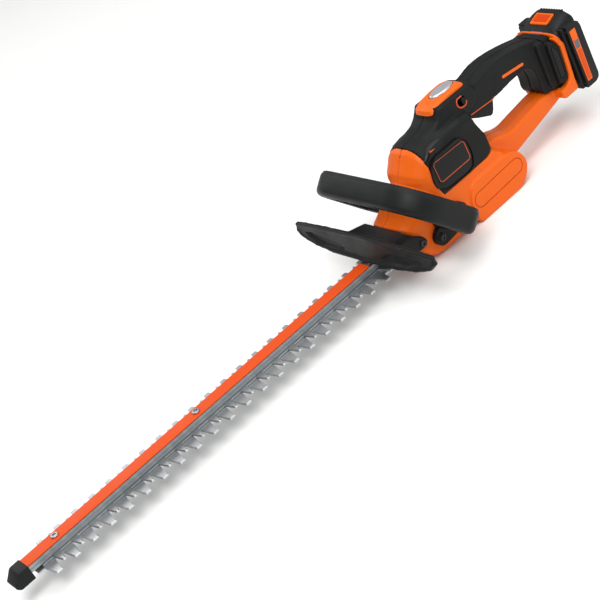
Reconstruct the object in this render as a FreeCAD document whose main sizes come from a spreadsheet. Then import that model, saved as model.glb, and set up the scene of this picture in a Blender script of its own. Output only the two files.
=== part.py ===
"""Cordless hedge trimmer: a parametric assembly of separate pieces.

Axes while modelling: +X towards the blade tip with zero at the front face of the hand guard,
+Y to the left of the user, +Z up with zero at the top face of the fixed comb blade.
Every finished piece is then placed so that the origin is under the middle of the machine,
on the plane that it stands on.
"""
import FreeCAD, Part
import math
import os
import Sketcher
from FreeCAD import Placement, Rotation, Vector

doc = FreeCAD.newDocument("HedgeTrimmer")

# ---------------------------------------------------------------- driving dimensions (mm, degrees)
SIZES = {
    # blade set
    "pitch": 22.5, "teeth": 21, "stagger": 11.25, "first_tooth": 452, "comb_front": 466, "comb_back": -120,
    "spine_half": 13, "comb_reach": 32.8, "comb_base": 13.5, "comb_tip": 6.5, "comb_thick": 2.2,
    "cutter_reach": 26.5, "cutter_base": 10, "cutter_tip": 3, "cutter_thick": 2, "cutter_spine": 10.5,
    "run_gap": 0.3, "cutter_front": 458,
    # stiffening bar
    "bar_width": 18, "bar_height": 7.5, "bar_front": 478, "bar_back": -44, "strip_thick": 1.4,
    "strip_width": 17, "cap_length": 22, "cap_lap": 8, "cap_wall": 1.3, "cap_drop": 4,
    "front_screw": 431, "screw_span": 185.5, "root_screw": 6, "root_span": 34, "strip_back": 2,
    "bar_bolt": 4, "bush_dia": 7, "head_dia": 8.5, "head_high": 1.8,
    "nut_width": 8, "nut_high": 3, "hole_gap": 0.1,
    # drive
    "crank_x": -84, "crank_throw": 11, "crank_pin": 8, "gear_mod": 0.8, "gear_teeth": 60,
    "pinion_teeth": 11, "gear_thick": 5, "gear_z": 11.5, "gear_pin": 8, "gear_hub": 16, "run_fit": 0.05,
    "case_half": 29.4, "case_wall": 3.2, "case_low": 3.2, "case_top": 24, "case_front": -54, "case_back": -126,
    "clamp_half": 19, "clamp_thick": 3, "clamp_front": 2,
    "can_dia": 37, "can_high": 42, "can_wall": 1.5, "shaft_dia": 5, "armature_dia": 30, "armature_high": 26,
    "fan_dia": 34, "fan_thick": 5, "bearing_dia": 13, "bearing_thick": 5,
    # housing
    "wall": 2.5, "body_half": 33, "top_half": 24, "pod_half": 36, "strut_half": 14, "rear_half": 29,
    "grip_half": 16.5,
    "seam": 0.1, "joint_gap": 0.3, "floor_z": -26, "split_z": 31, "split_x": -100,
    "nose_x": -37, "nose_z": 27, "brow_x": -84, "brow_z": 62, "crown_x": -96, "crown_z": 86,
    "shroud_x": -138, "shroud_z": 100, "waist_x": -171, "throat_x": -180, "throat_z": 56,
    "pod_front": -130, "pod_back": -214, "pod_top": 18, "strut_z": 31, "strut_low": 17,
    "grip_low": 70, "grip_top": 105, "heel_x": -268, "receiver_x": -322, "receiver_top": 77,
    "rim_width": 7, "rim_front": -314, "rim_top": 88, "round_large": 5, "round_small": 2,
    # guard
    "guard_half": 119, "guard_thick": 5, "guard_low": 13.5, "guard_lean": 6, "guard_tall": 29.5, "guard_drop": 9,
    "guard_rise": 24, "guard_bow": 3, "guard_taper": 9, "collar_half": 40, "collar_drop": 6, "guard_wall": 3,
    "ear_thick": 4,
    # bail handle
    "bail_x": -95, "bail_z": 21.5, "bail_tilt": 43, "bail_reach": 96, "bail_half": 90,
    "bail_round": 44, "bail_thick": 15, "bail_wide": 28, "foot_back": 23, "foot_drop": 34.5, "foot_long": 52,
    "foot_high": 30, "foot_thick": 8, "foot_screw": 11,
    # top panel, buttons and trigger
    "panel_front": -142, "panel_back": -207, "panel_half": 20, "panel_top": 113, "panel_thick": 2.5,
    "key_x": -175, "key_long": 34, "key_wide": 16, "key_high": 6, "key_travel": 1.5,
    "lock_x": -181, "lock_z": 91, "lock_long": 10, "lock_high": 13, "lock_travel": 4, "lock_stand": 2.5,
    "trigger_x": -196, "trigger_z": 79, "trigger_long": 30, "trigger_drop": 25, "trigger_half": 6,
    "trigger_pin": 3, "trigger_swing": 12, "switch_long": 24, "switch_high": 10, "switch_half": 7,
    # side panels
    "cover_thick": 2.4, "cover_front": -86, "cover_back": -172, "cover_low": 32, "cover_high": 86,
    "badge_x": -171, "badge_z": 0, "badge_long": 78, "badge_high": 18, "badge_thick": 1.2,
    "inlay_x": -259, "inlay_z": 84, "inlay_long": 34, "inlay_high": 3, "inlay_thick": 1,
    # battery
    "slab_front": -329, "slab_back": -350, "slab_low": 15, "slab_high": 93, "slab_half": 37.5,
    "tower_front": -304.6, "tower_half": 23, "tower_low": 25, "tower_gap": 0.6, "pack_wall": 1.4,
    "block_front": -317, "block_back": -353, "block_high": 101.5, "block_half": 27,
    "cell_dia": 18.2, "cell_long": 65, "cell_pitch": 18.6, "release_long": 15, "release_wide": 26,
    "release_proud": 1.6, "release_travel": 1.5, "label_high": 62, "label_wide": 9,
    "label_thick": 0.8, "pack_screw": 3,
    # fasteners
    "case_bolt": 4, "case_head": 7.5, "case_head_high": 3, "boss_dia": 9,
}


# ---------------------------------------------------------------- places worked out from the sizes
TIP = "(bar_front + cap_length - cap_lap)"
CUTTER_Z = "run_gap"
BAR_Z = "(run_gap * 2 + cutter_thick)"
STRIP_Z = "(run_gap * 2 + cutter_thick + bar_height)"
STRIP_TOP = "(run_gap * 2 + cutter_thick + bar_height + strip_thick)"
MOTOR_X = "(crank_x - gear_mod * (gear_teeth + pinion_teeth) / 2)"
BOLT_X = ("front_screw", "front_screw - screw_span")
ROOT_X = ("bar_back + root_screw", "bar_back + root_screw + root_span")
FOOT_X = "(bail_x - foot_back)"
FOOT_Z = "(bail_z - foot_drop)"
FOOT_HOLES = ("8", "foot_long - 8")
BOARD_TOP = "(shroud_z + 2)"
SWITCH_Z = "(trigger_z + 8)"
PRESS_FLOOR = "(slab_high + 0.2 + pack_wall)"
PACK_SCREWS = [(y, z) for y in ("slab_half - 3.2", "3.2 - slab_half") for z in ("slab_low + 6", "slab_high - 6")]

# outlines in the XZ plane
LOWER_LINE = [
    ("nose_x - 14", "floor_z + 17"), ("nose_x - 27", "floor_z"), ("pod_back + 16", "floor_z"),
    ("pod_back + 2", "floor_z + 12"), ("pod_back - 2", "floor_z + 26"), ("pod_back", "floor_z + 30"),
    ("heel_x - 30", "strut_low"), ("receiver_x", "strut_low + 3"), ("receiver_x", "receiver_top"),
    ("rim_front", "rim_top"), ("rim_front", "strut_z"), ("pod_back - 14", "strut_z - 6"),
    ("waist_x - 10", "split_z + 4"), ("waist_x", "split_z"), ("split_x", "split_z"),
    ("split_x", "crown_z + 1"), ("crown_x", "crown_z"), ("brow_x - 4", "brow_z + 14"), ("brow_x", "brow_z"),
    ("nose_x - 11", "nose_z + 4"), ("nose_x", "nose_z"), ("nose_x", "3"),
]
LOWER_BODY = [
    ("nose_x - 14", "floor_z + 17"), ("nose_x - 27", "floor_z"), ("pod_back + 16", "floor_z"),
    ("pod_back + 2", "floor_z + 12"), ("pod_back - 2", "floor_z + 26"), ("pod_back", "split_z - 8"),
    ("waist_x - 10", "split_z + 4"), ("waist_x", "split_z"), ("split_x", "split_z"),
    ("split_x", "crown_z + 1"), ("crown_x", "crown_z"), ("brow_x - 4", "brow_z + 14"), ("brow_x", "brow_z"),
    ("nose_x - 11", "nose_z + 4"), ("nose_x", "nose_z"), ("nose_x", "3"),
]
POD = [("pod_front", "floor_z"), ("pod_back + 16", "floor_z"), ("pod_back + 2", "floor_z + 12"),
       ("pod_back - 2", "floor_z + 26"), ("pod_back + 6", "pod_top"), ("pod_front + 10", "pod_top"),
       ("pod_front", "pod_top - 12")]
RIM = [("receiver_x", "strut_low + 3"), ("receiver_x", "receiver_top"), ("rim_front", "rim_top"),
       ("rim_front", "strut_low + 2")]
UPPER_LINE = [
    ("split_x - joint_gap", "split_z + joint_gap"), ("waist_x", "split_z + joint_gap"),
    ("waist_x - 10", "split_z + 4 + joint_gap"),
    ("throat_x", "throat_z"), ("throat_x + 5", "grip_low + 8"), ("trigger_x + 4", "grip_low + 2"),
    ("heel_x + 14", "grip_low"), ("heel_x", "grip_low"), ("heel_x + 1", "throat_z - 2"),
    ("heel_x - 14", "strut_z + joint_gap"), ("rim_front + joint_gap", "strut_z + joint_gap"),
    ("rim_front + joint_gap", "rim_top"), ("heel_x - 23", "rim_top + 7"), ("heel_x + 4", "grip_top - 3"),
    ("heel_x + 18", "grip_top"), ("panel_back - 6", "grip_top"), ("panel_back", "shroud_z"),
    ("shroud_x", "shroud_z"), ("shroud_x + 14", "rim_top + 2"), ("split_x - joint_gap", "crown_z + 1"),
]
UPPER_BODY = [
    ("split_x - joint_gap", "split_z + joint_gap"), ("waist_x", "split_z + joint_gap"),
    ("throat_x", "throat_z"), ("throat_x + 5", "grip_low + 8"), ("shroud_x - 24", "crown_z"),
    ("split_x - joint_gap", "crown_z"),
]
UPPER_REAR = [
    ("heel_x - 8", "grip_low"), ("heel_x - 3", "throat_z - 2"), ("heel_x - 16", "strut_z + joint_gap"),
    ("rim_front + joint_gap", "strut_z + joint_gap"), ("rim_front + joint_gap", "rim_top - 1"),
    ("heel_x - 24", "rim_top - 4"),
]
UPPER_TOP = [
    ("shroud_x + 14", "crown_z - 10"), ("panel_back", "crown_z - 10"), ("panel_back", "shroud_z"),
    ("shroud_x", "shroud_z"), ("shroud_x + 14", "rim_top + 2"),
]
LATCH_SIDE = [
    ("block_front + 0.4", "rim_top + 0.6"), ("block_front - 1", "rim_top + 6"), ("block_front - 18", "block_high - 2"),
    ("block_back + 6", "block_high"), ("block_back", "block_high - 4"), ("block_back", "slab_high + 0.2"),
    ("slab_front + 0.2", "slab_high + 0.2"), ("slab_front + 0.2", "receiver_top + 3"),
    ("receiver_x - 1", "receiver_top + 3.5"),
]

# housing screws: x, z and the half width that each one reaches
LOWER_POSTS = [("nose_x - 30", "floor_z + 9", "body_half"), ("pod_back + 18", "floor_z + 9", "pod_half"),
               ("heel_x - 26", "strut_z - 7", "strut_half")]
UPPER_POSTS = [("shroud_x - 14", "shroud_z - 10", "top_half"), ("waist_x + 10", "split_z + 12", "body_half"),
               ("heel_x + 6", "grip_low + 12", "grip_half"), ("heel_x - 20", "throat_z + 14", "rear_half")]

sizes = doc.addObject("Spreadsheet::Sheet", "Sizes")
for row, (alias, number) in enumerate(SIZES.items(), start=1):
    sizes.set("A%d" % row, alias)
    sizes.set("B%d" % row, str(number))
    sizes.setAlias("B%d" % row, alias)
doc.recompute()

finished = []
places = {}


def bound(text):
    """Turn a formula in bare aliases into one that reads the sheet."""
    out, word = [], ""
    for letter in text + " ":
        if letter.isalnum() or letter == "_":
            word += letter
            continue
        out.append("Sizes." + word if word in SIZES else word)
        out.append(letter)
        word = ""
    return "".join(out).strip()


def value(text):
    """Give the number that a formula has now."""
    return float(sizes.evalExpression(bound(text)))


def place(item, x="0", y="0", z="0", axis=None, angle=0.0):
    """Bind an object's place to the sheet, with a fixed turn."""
    if axis is not None:
        item.Placement = Placement(Vector(0, 0, 0), Rotation(axis, angle))
    for key, text in (("x", x), ("y", y), ("z", z)):
        item.setExpression("Placement.Base." + key, bound(text))
    places[item.Name] = (x, z)
    return item


def box(x, y, z, length, width, height):
    """A box with its low corner at x, y, z."""
    item = doc.addObject("Part::Box", "Box")
    item.setExpression("Length", bound(length))
    item.setExpression("Width", bound(width))
    item.setExpression("Height", bound(height))
    return place(item, x, y, z)


TURN = {"X": (Vector(0, 1, 0), 90), "Y": (Vector(1, 0, 0), -90), "Z": (Vector(0, 0, 1), 0)}


def rod(x, y, z, radius, length, axis="Z"):
    """A cylinder that starts at x, y, z and runs along +axis."""
    item = doc.addObject("Part::Cylinder", "Rod")
    item.setExpression("Radius", bound(radius))
    item.setExpression("Height", bound(length))
    return place(item, x, y, z, *TURN[axis])


def cut(base, tool):
    """Base less tool."""
    item = doc.addObject("Part::Cut", "Cut")
    item.Base, item.Tool = base, tool
    return item


def join(*items):
    """Several objects as one: a fusion where they touch, separate solids where they don't."""
    item = doc.addObject("Part::MultiFuse", "Join")
    item.Shapes = list(items)
    return item


def rounded(base, radius, wanted):
    """Fillet the edges of base that the test picks out."""
    doc.recompute()
    item = doc.addObject("Part::Fillet", "Round")
    item.Base = base
    size = value(radius)
    doc.recompute()
    item.Edges = [(i + 1, size, size) for i, edge in enumerate(base.Shape.Edges) if wanted(edge)]
    return item


def along(axis):
    """A test for straight edges that run along an axis."""
    way = {"X": Vector(1, 0, 0), "Y": Vector(0, 1, 0), "Z": Vector(0, 0, 1)}[axis]

    def test(edge):
        return edge.Curve.TypeId == "Part::GeomLine" and abs(abs(edge.tangentAt(edge.FirstParameter).dot(way)) - 1) < 1e-6
    return test


PLANES = {"XY": "XY_Plane", "XZ": "XZ_Plane", "YZ": "YZ_Plane"}


def body(name):
    """A new PartDesign body."""
    return doc.addObject("PartDesign::Body", name)


def sketch(owner, plane="XY", offset="0"):
    """An empty sketch on one of the body's origin planes, moved along the plane's normal."""
    item = owner.newObject("Sketcher::SketchObject", "Sketch")
    origin = [f for f in owner.Origin.OriginFeatures if f.Role == PLANES[plane]][0]
    item.AttachmentSupport = [(origin, "")]
    item.MapMode = "FlatFace"
    item.setExpression("AttachmentOffset.Base.z", bound(offset))
    return item


def outline(item, points):
    """Draw a closed outline whose corners are bound to pairs of formulas."""
    corners = [Vector(value(a), value(b), 0) for a, b in points]
    first = item.GeometryCount
    count = len(corners)
    for i in range(count):
        item.addGeometry(Part.LineSegment(corners[i], corners[(i + 1) % count]), False)
    for i in range(count):
        item.addConstraint(Sketcher.Constraint("Coincident", first + i, 2, first + (i + 1) % count, 1))
    for i, pair in enumerate(points):
        for kind, text, number in (("DistanceX", pair[0], corners[i].x), ("DistanceY", pair[1], corners[i].y)):
            index = item.addConstraint(Sketcher.Constraint(kind, -1, 1, first + i, 1, number))
            item.setExpression("Constraints[%d]" % index, bound(text))
    return item


def ring(item, x, y, radius):
    """Draw a circle whose centre and radius are bound to formulas."""
    index = item.addGeometry(Part.Circle(Vector(value(x), value(y), 0), Vector(0, 0, 1), value(radius)), False)
    for kind, text in (("DistanceX", x), ("DistanceY", y)):
        number = item.addConstraint(Sketcher.Constraint(kind, -1, 1, index, 3, value(text)))
        item.setExpression("Constraints[%d]" % number, bound(text))
    number = item.addConstraint(Sketcher.Constraint("Radius", index, value(radius)))
    item.setExpression("Constraints[%d]" % number, bound(radius))
    return item


def rectangle(x0, x1, y0, y1):
    """The four corners of a rectangle, as pairs of formulas."""
    return [(x0, y0), (x1, y0), (x1, y1), (x0, y1)]


def pad(owner, profile, length, back=False, both=False):
    """Pad a sketch of this body."""
    item = owner.newObject("PartDesign::Pad", "Pad")
    item.Profile = profile
    item.setExpression("Length", bound(length))
    item.Reversed = back
    item.Midplane = both
    return item


def pocket(owner, profile, length, back=False, both=False, through=False):
    """Pocket a sketch out of this body, and make sure that it takes something away."""
    doc.recompute()
    before = owner.Shape.Volume
    item = owner.newObject("PartDesign::Pocket", "Pocket")
    item.Profile = profile
    if through:
        item.Type = "ThroughAll"
    else:
        item.setExpression("Length", bound(length))
    item.Reversed = back
    item.Midplane = both
    doc.recompute()
    if not owner.Shape.Volume < before - 1e-3:
        raise ValueError("a pocket in %s cuts nothing" % owner.Name)
    return item


def row_pattern(owner, original, axis, length, count, back=False):
    """Repeat a feature in a row along one of the body's axes."""
    item = owner.newObject("PartDesign::LinearPattern", "Row")
    item.Originals = [original]
    line = [f for f in owner.Origin.OriginFeatures if f.Role == axis + "_Axis"][0]
    item.Direction = (line, [""])
    item.Reversed = back
    item.setExpression("Length", bound(length))
    item.setExpression("Occurrences", bound(count))
    owner.Tip = item
    return item


def finish(label, item):
    """Give a sub-part its name and put it in the machine's own frame."""
    item.Label = label
    x, z = places.get(item.Name, ("0", "0"))
    item.setExpression("Placement.Base.x", bound("%s - (%s + block_back) / 2" % (x, TIP)))
    item.setExpression("Placement.Base.z", bound("%s - floor_z" % z))
    finished.append(item)
    return item


# ---------------------------------------------------------------- blade set
def toothed_blade(name, plate, z, thick, reach, base, tip, near_x, far_x, spine):
    """A flat blade with a row of teeth along each edge, lying on plane z."""
    blade = body(name)
    pad(blade, outline(sketch(blade, "XY", z), plate), thick)
    for side, start in (("", near_x), ("-", far_x)):
        tooth = [("%s - (%s) / 2" % (start, base), "%s(%s - 1)" % (side, spine)),
                 ("%s + (%s) / 2" % (start, base), "%s(%s - 1)" % (side, spine)),
                 ("%s + (%s) / 2" % (start, tip), "%s%s" % (side, reach)),
                 ("%s - (%s) / 2" % (start, tip), "%s%s" % (side, reach))]
        first = pad(blade, outline(sketch(blade, "XY", z), tooth), thick)
        row_pattern(blade, first, "X", "pitch * (teeth - 1)", "teeth", back=True)
    return blade


def comb_blade():
    """The fixed lower blade, with blunt teeth and holes for the bar bolts."""
    plate = rectangle("comb_back", "comb_front", "-spine_half", "spine_half")
    blade = toothed_blade("Comb", plate, "-comb_thick", "comb_thick", "comb_reach", "comb_base", "comb_tip",
                          "first_tooth", "first_tooth - stagger", "spine_half")
    holes = sketch(blade, "XY", "0")
    for x in BOLT_X + ROOT_X:
        ring(holes, x, "0", "bar_bolt / 2 + hole_gap")
    pocket(blade, holes, "comb_thick")
    return finish("comb_blade", blade)


def cutter_blade():
    """The sliding upper blade, with sharp teeth, bush slots and the yoke that the crank drives."""
    plate = rectangle("crank_x + crank_pin + 4", "cutter_front", "-cutter_spine", "cutter_spine")
    blade = toothed_blade("Cutter", plate, CUTTER_Z, "cutter_thick", "cutter_reach", "cutter_base", "cutter_tip",
                          "first_tooth - pitch / 2", "first_tooth - pitch / 2 - stagger", "cutter_spine")
    yoke = rectangle("crank_x - crank_pin - 8", "crank_x + crank_pin + 8",
                     "-(crank_throw + crank_pin / 2 + 5)", "crank_throw + crank_pin / 2 + 5")
    pad(blade, outline(sketch(blade, "XY", CUTTER_Z), yoke), "cutter_thick")
    slots = sketch(blade, "XY", "run_gap + cutter_thick")
    outline(slots, rectangle("crank_x - crank_pin / 2 - run_gap", "crank_x + crank_pin / 2 + run_gap",
                             "-(crank_throw + crank_pin / 2 + 1)", "crank_throw + crank_pin / 2 + 1"))
    for x in BOLT_X + ROOT_X:
        outline(slots, rectangle("%s - crank_throw - bush_dia / 2 - 0.5" % x,
                                 "%s + crank_throw + bush_dia / 2 + 0.5" % x,
                                 "-(bush_dia / 2 + run_gap)", "bush_dia / 2 + run_gap"))
    pocket(blade, slots, "cutter_thick")
    return finish("cutter_blade", blade)


def bored(item, tools):
    """An object less a group of rods or boxes."""
    return cut(item, join(*tools) if len(tools) > 1 else tools[0])


def support_bar():
    """The aluminium bar that keeps the blades straight."""
    bar = box("bar_back", "-bar_width / 2", BAR_Z, "bar_front - bar_back", "bar_width", "bar_height")
    holes = [rod(x, "0", "0", "bar_bolt / 2 + hole_gap", "20") for x in BOLT_X + ROOT_X]
    return finish("support_bar", bored(bar, holes))


def bar_strip():
    """The coloured moulding along the top of the bar."""
    strip = box("strip_back", "-strip_width / 2", STRIP_Z, "bar_front - strip_back - 1", "strip_width",
                "strip_thick")
    holes = [rod(x, "0", "0", "bar_bolt / 2 + hole_gap", "20") for x in BOLT_X]
    return finish("bar_strip", bored(strip, holes))


def bar_end_cap():
    """The blunt nose moulding that closes the end of the bar."""
    cap = body("EndCap")
    low = "-(cap_drop)"
    top = STRIP_TOP + " + 0.4"
    side = [("bar_front - 8", low), ("%s - 5" % TIP, low), (TIP, "%s + 5" % low),
            ("%s - 3" % TIP, "4"), ("bar_front + 4", top), ("bar_front - 8", top)]
    pad(cap, outline(sketch(cap, "XZ"), side), "bar_width + 2 * cap_wall", both=True)
    bar_hole = outline(sketch(cap, "XZ"), rectangle("bar_front - 9", "bar_front", "0.1", STRIP_TOP))
    pocket(cap, bar_hole, "bar_width", both=True)
    return finish("bar_end_cap", cap)


def bar_screws():
    """Pan-head screws through strip, bar, bush and comb."""
    parts = []
    for x in BOLT_X:
        shank = rod(x, "0", "-(comb_thick + nut_high)", "bar_bolt / 2",
                    "comb_thick + nut_high + run_gap * 2 + cutter_thick + bar_height + strip_thick")
        head = rod(x, "0", STRIP_TOP, "head_dia / 2", "head_high")
        parts.append(join(shank, head))
    return finish("bar_screws", join(*parts))


def bar_nuts():
    """Lock nuts under the comb."""
    nuts = []
    for x in BOLT_X:
        nut = doc.addObject("Part::Prism", "Nut")
        nut.Polygon = 6
        nut.setExpression("Circumradius", bound("nut_width / 2 / cos(30)"))
        nut.setExpression("Height", bound("nut_high"))
        place(nut, x, "0", "-(comb_thick + nut_high)")
        nuts.append(cut(nut, rod(x, "0", "-(comb_thick + nut_high)", "bar_bolt / 2 + hole_gap", "nut_high")))
    return finish("bar_nuts", join(*nuts))


def guide_bushes():
    """Bushes that the slots of the cutter run on."""
    bushes = []
    for x in BOLT_X + ROOT_X:
        outer = rod(x, "0", "0", "bush_dia / 2", "run_gap * 2 + cutter_thick")
        bushes.append(cut(outer, rod(x, "0", "0", "bar_bolt / 2 + hole_gap", "run_gap * 2 + cutter_thick")))
    return finish("guide_bushes", join(*bushes))


def blade_root_screws():
    """Screws that clamp bar and comb to the plate under the gear case."""
    parts = []
    for x in ROOT_X:
        shank = rod(x, "0", "-(comb_thick + clamp_thick)", "bar_bolt / 2",
                    "comb_thick + clamp_thick + run_gap * 2 + cutter_thick + bar_height")
        parts.append(join(shank, rod(x, "0", STRIP_Z, "head_dia / 2", "strip_thick")))
    return finish("blade_root_screws", join(*parts))


def blade_clamp_plate():
    """The plate under the comb that ties blade set and gear case together."""
    plate = box("case_back", "-clamp_half", "-(comb_thick + clamp_thick)", "clamp_front - case_back",
                "2 * clamp_half", "clamp_thick")
    holes = [rod(x, "0", "-12", "bar_bolt / 2 + hole_gap", "20") for x in ROOT_X]
    return finish("blade_clamp_plate", bored(plate, holes))


# ---------------------------------------------------------------- drive
def gear_wheel(name, x, z, teeth, thick):
    """A spur wheel's rim with its first tooth, which points to -X and is thinned for backlash."""
    wheel = body(name)
    rim = ring(sketch(wheel, "XY", z), x, "0", "gear_mod * (%s / 2 - 1.15)" % teeth)
    pad(wheel, rim, thick)
    root = "gear_mod * (%s / 2 - 1.3)" % teeth
    tip = "gear_mod * (%s / 2 + 0.85)" % teeth
    tooth = [("%s - %s" % (x, root), "-gear_mod * 0.78"), ("%s - %s" % (x, tip), "-gear_mod * 0.26"),
             ("%s - %s" % (x, tip), "gear_mod * 0.26"), ("%s - %s" % (x, root), "gear_mod * 0.78")]
    one = pad(wheel, outline(sketch(wheel, "XY", z), tooth), thick)
    return wheel, one


def spun(wheel, one, teeth, x):
    """Repeat a tooth all round the wheel's own axis."""
    axis = wheel.newObject("PartDesign::Line", "Axis")
    base = [f for f in wheel.Origin.OriginFeatures if f.Role == "Z_Axis"][0]
    axis.AttachmentSupport = [(base, "")]
    axis.MapMode = "Deactivated"
    axis.setExpression("Placement.Base.x", bound(x))
    around = wheel.newObject("PartDesign::PolarPattern", "Around")
    around.Originals = [one]
    around.Axis = (axis, [""])
    around.Angle = 360
    around.setExpression("Occurrences", bound(teeth))
    wheel.Tip = around
    return around


def crank_gear():
    """The driven wheel with the crank pin that moves the cutter."""
    wheel, one = gear_wheel("CrankGear", "crank_x", "gear_z", "gear_teeth", "gear_thick")
    spun(wheel, one, "gear_teeth", "crank_x")
    hub = ring(sketch(wheel, "XY", "gear_z"), "crank_x", "0", "gear_hub / 2")
    pad(wheel, hub, "case_top - case_wall - run_gap - gear_z")
    pin = ring(sketch(wheel, "XY", "run_gap * 2 + cutter_thick"), "crank_x", "crank_throw", "crank_pin / 2")
    pad(wheel, pin, "gear_z - run_gap * 2 - cutter_thick + 1")
    bore = ring(sketch(wheel, "XY", "case_top"), "crank_x", "0", "gear_pin / 2 + run_fit")
    pocket(wheel, bore, "case_top", back=False)
    return finish("crank_gear", wheel)


def pinion():
    """The small wheel on the motor shaft: its odd number of teeth leaves a gap opposite the first one."""
    wheel, one = gear_wheel("Pinion", MOTOR_X, "gear_z - 0.5", "pinion_teeth", "gear_thick + 1")
    spun(wheel, one, "pinion_teeth", MOTOR_X)
    bore = ring(sketch(wheel, "XY", "case_top"), MOTOR_X, "0", "shaft_dia / 2")
    pocket(wheel, bore, "case_top")
    return finish("pinion", wheel)


def gear_shaft():
    """The fixed pin that carries the crank gear, with the clip that keeps the gear on it."""
    pin = rod("crank_x", "0", "case_low + 3", "gear_pin / 2", "case_top - case_low - 3")
    return finish("gear_shaft", pin)


def gear_clip():
    """The retaining ring under the crank gear."""
    z = "gear_z - run_gap - 1.2"
    outer = rod("crank_x", "0", z, "gear_pin / 2 + 2", "1.2")
    return finish("gear_clip", cut(outer, rod("crank_x", "0", z, "gear_pin / 2 + hole_gap / 2", "1.2")))


def gear_case():
    """The cast case: a top plate that carries motor and gear pin, with a skirt round the gear."""
    block = box("case_back", "-case_half", "case_low", "case_front - case_back", "2 * case_half",
                "case_top - case_low")
    room = rod("crank_x", "0", "case_low - 1", "gear_mod * (gear_teeth / 2 + 0.85) + 1",
               "case_top - case_wall - case_low + 1")
    nook = rod(MOTOR_X, "0", "case_low - 1", "gear_mod * (pinion_teeth / 2 + 0.85) + 1.5",
               "case_top - case_wall - case_low + 1")
    throat = rod(MOTOR_X, "0", "case_low", "shaft_dia / 2 + 2", "case_top")
    seat = rod("crank_x", "0", "case_low", "gear_pin / 2", "case_top")
    return finish("gear_case", bored(block, [room, nook, throat, seat]))


def motor_can():
    """The steel can of the motor, open at the top, bored for the lower bearing."""
    outer = rod(MOTOR_X, "0", "case_top", "can_dia / 2", "can_high")
    room = rod(MOTOR_X, "0", "case_top + bearing_thick", "can_dia / 2 - can_wall", "can_high")
    seat = rod(MOTOR_X, "0", "case_top", "bearing_dia / 2", "bearing_thick")
    return finish("motor_can", bored(outer, [room, seat]))


def motor_magnets():
    """Two curved magnets on the wall of the can."""
    outer = rod(MOTOR_X, "0", "case_top + bearing_thick + 3", "can_dia / 2 - can_wall - run_fit", "armature_high")
    inner = rod(MOTOR_X, "0", "case_top + bearing_thick + 3", "armature_dia / 2 + 0.6", "armature_high")
    gap = box("%s - can_dia" % MOTOR_X, "-5", "case_top", "2 * can_dia", "10", "can_high")
    return finish("motor_magnets", bored(outer, [inner, gap]))


def motor_end_bell():
    """The moulded end of the motor with the seat of the upper bearing."""
    z = "case_top + can_high"
    outer = rod(MOTOR_X, "0", z, "can_dia / 2", "bearing_thick + 1")
    return finish("motor_end_bell", bored(outer, [rod(MOTOR_X, "0", z, "bearing_dia / 2", "bearing_thick"),
                                                  rod(MOTOR_X, "0", z, "shaft_dia / 2 + 1", "20")]))


def motor_bearings():
    """The two bearings of the motor shaft."""
    rings = []
    for z in ("case_top", "case_top + can_high"):
        outer = rod(MOTOR_X, "0", z, "bearing_dia / 2", "bearing_thick")
        rings.append(cut(outer, rod(MOTOR_X, "0", z, "shaft_dia / 2 + run_fit", "bearing_thick")))
    return finish("motor_bearings", join(*rings))


def rotor():
    """Shaft, winding core and commutator."""
    shaft = rod(MOTOR_X, "0", "gear_z - 1", "shaft_dia / 2", "case_top + can_high + 16 - gear_z")
    core = rod(MOTOR_X, "0", "case_top + bearing_thick + 3", "armature_dia / 2", "armature_high")
    collector = rod(MOTOR_X, "0", "case_top + bearing_thick + armature_high + 3", "shaft_dia * 1.1", "6")
    return finish("rotor", join(shaft, core, collector))


def motor_fan():
    """The cooling fan on the upper end of the shaft."""
    z = "case_top + can_high + bearing_thick + 2"
    hub = rod(MOTOR_X, "0", z, "shaft_dia / 2 + 3", "fan_thick")
    disc = rod(MOTOR_X, "0", z, "fan_dia / 2", "1.2")
    blades = []
    for i in range(9):
        blade = doc.addObject("Part::Box", "Vane")
        blade.setExpression("Length", bound("fan_dia / 2 - shaft_dia / 2 - 2"))
        blade.Width = 1
        blade.setExpression("Height", bound("fan_thick"))
        turn = Rotation(Vector(0, 0, 1), i * 40)
        blade.Placement = Placement(Vector(0, 0, 0), turn)
        reach = turn.multVec(Vector(1, 0, 0))
        blade.setExpression("Placement.Base.x", bound("%s + (shaft_dia / 2 + 1.5) * %f" % (MOTOR_X, reach.x)))
        blade.setExpression("Placement.Base.y", bound("(shaft_dia / 2 + 1.5) * %f" % reach.y))
        blade.setExpression("Placement.Base.z", bound(z))
        blades.append(blade)
    return finish("motor_fan", cut(join(hub, disc, *blades), rod(MOTOR_X, "0", z, "shaft_dia / 2", "fan_thick")))


# ---------------------------------------------------------------- housing


def layer(points, depth, side):
    """An outline in the XZ plane, thickened from the centre seam to one side."""
    shape = body("Layer")
    back = side < 0
    pad(shape, outline(sketch(shape, "XZ", "seam / 2" if back else "-seam / 2"), points), "%s - seam / 2" % depth,
        back=not back)
    return shape


def hollow(solid, side):
    """Open a half shell on its seam face and leave a wall all round."""
    doc.recompute()
    limit = abs(value("seam")) / 2 + 1e-3
    names = ["Face%d" % (i + 1) for i, face in enumerate(solid.Shape.Faces)
             if abs(face.CenterOfMass.y) < limit and abs(face.normalAt(0, 0).y) > 0.99]
    item = doc.addObject("Part::Thickness", "Shell")
    item.Faces = (solid, names)
    item.setExpression("Value", bound("-wall"))
    item.Join = 2
    doc.recompute()
    if item.Shape.isNull() or not item.Shape.isValid():
        raise ValueError("a layer of the housing can't be hollowed")
    return item


def far_edge(depth):
    """A test for the edges of a layer's outer face."""
    reach = value(depth)

    def test(edge):
        room = edge.BoundBox
        return abs(abs(room.YMin) - reach) < 1e-4 and abs(abs(room.YMax) - reach) < 1e-4
    return test


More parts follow.
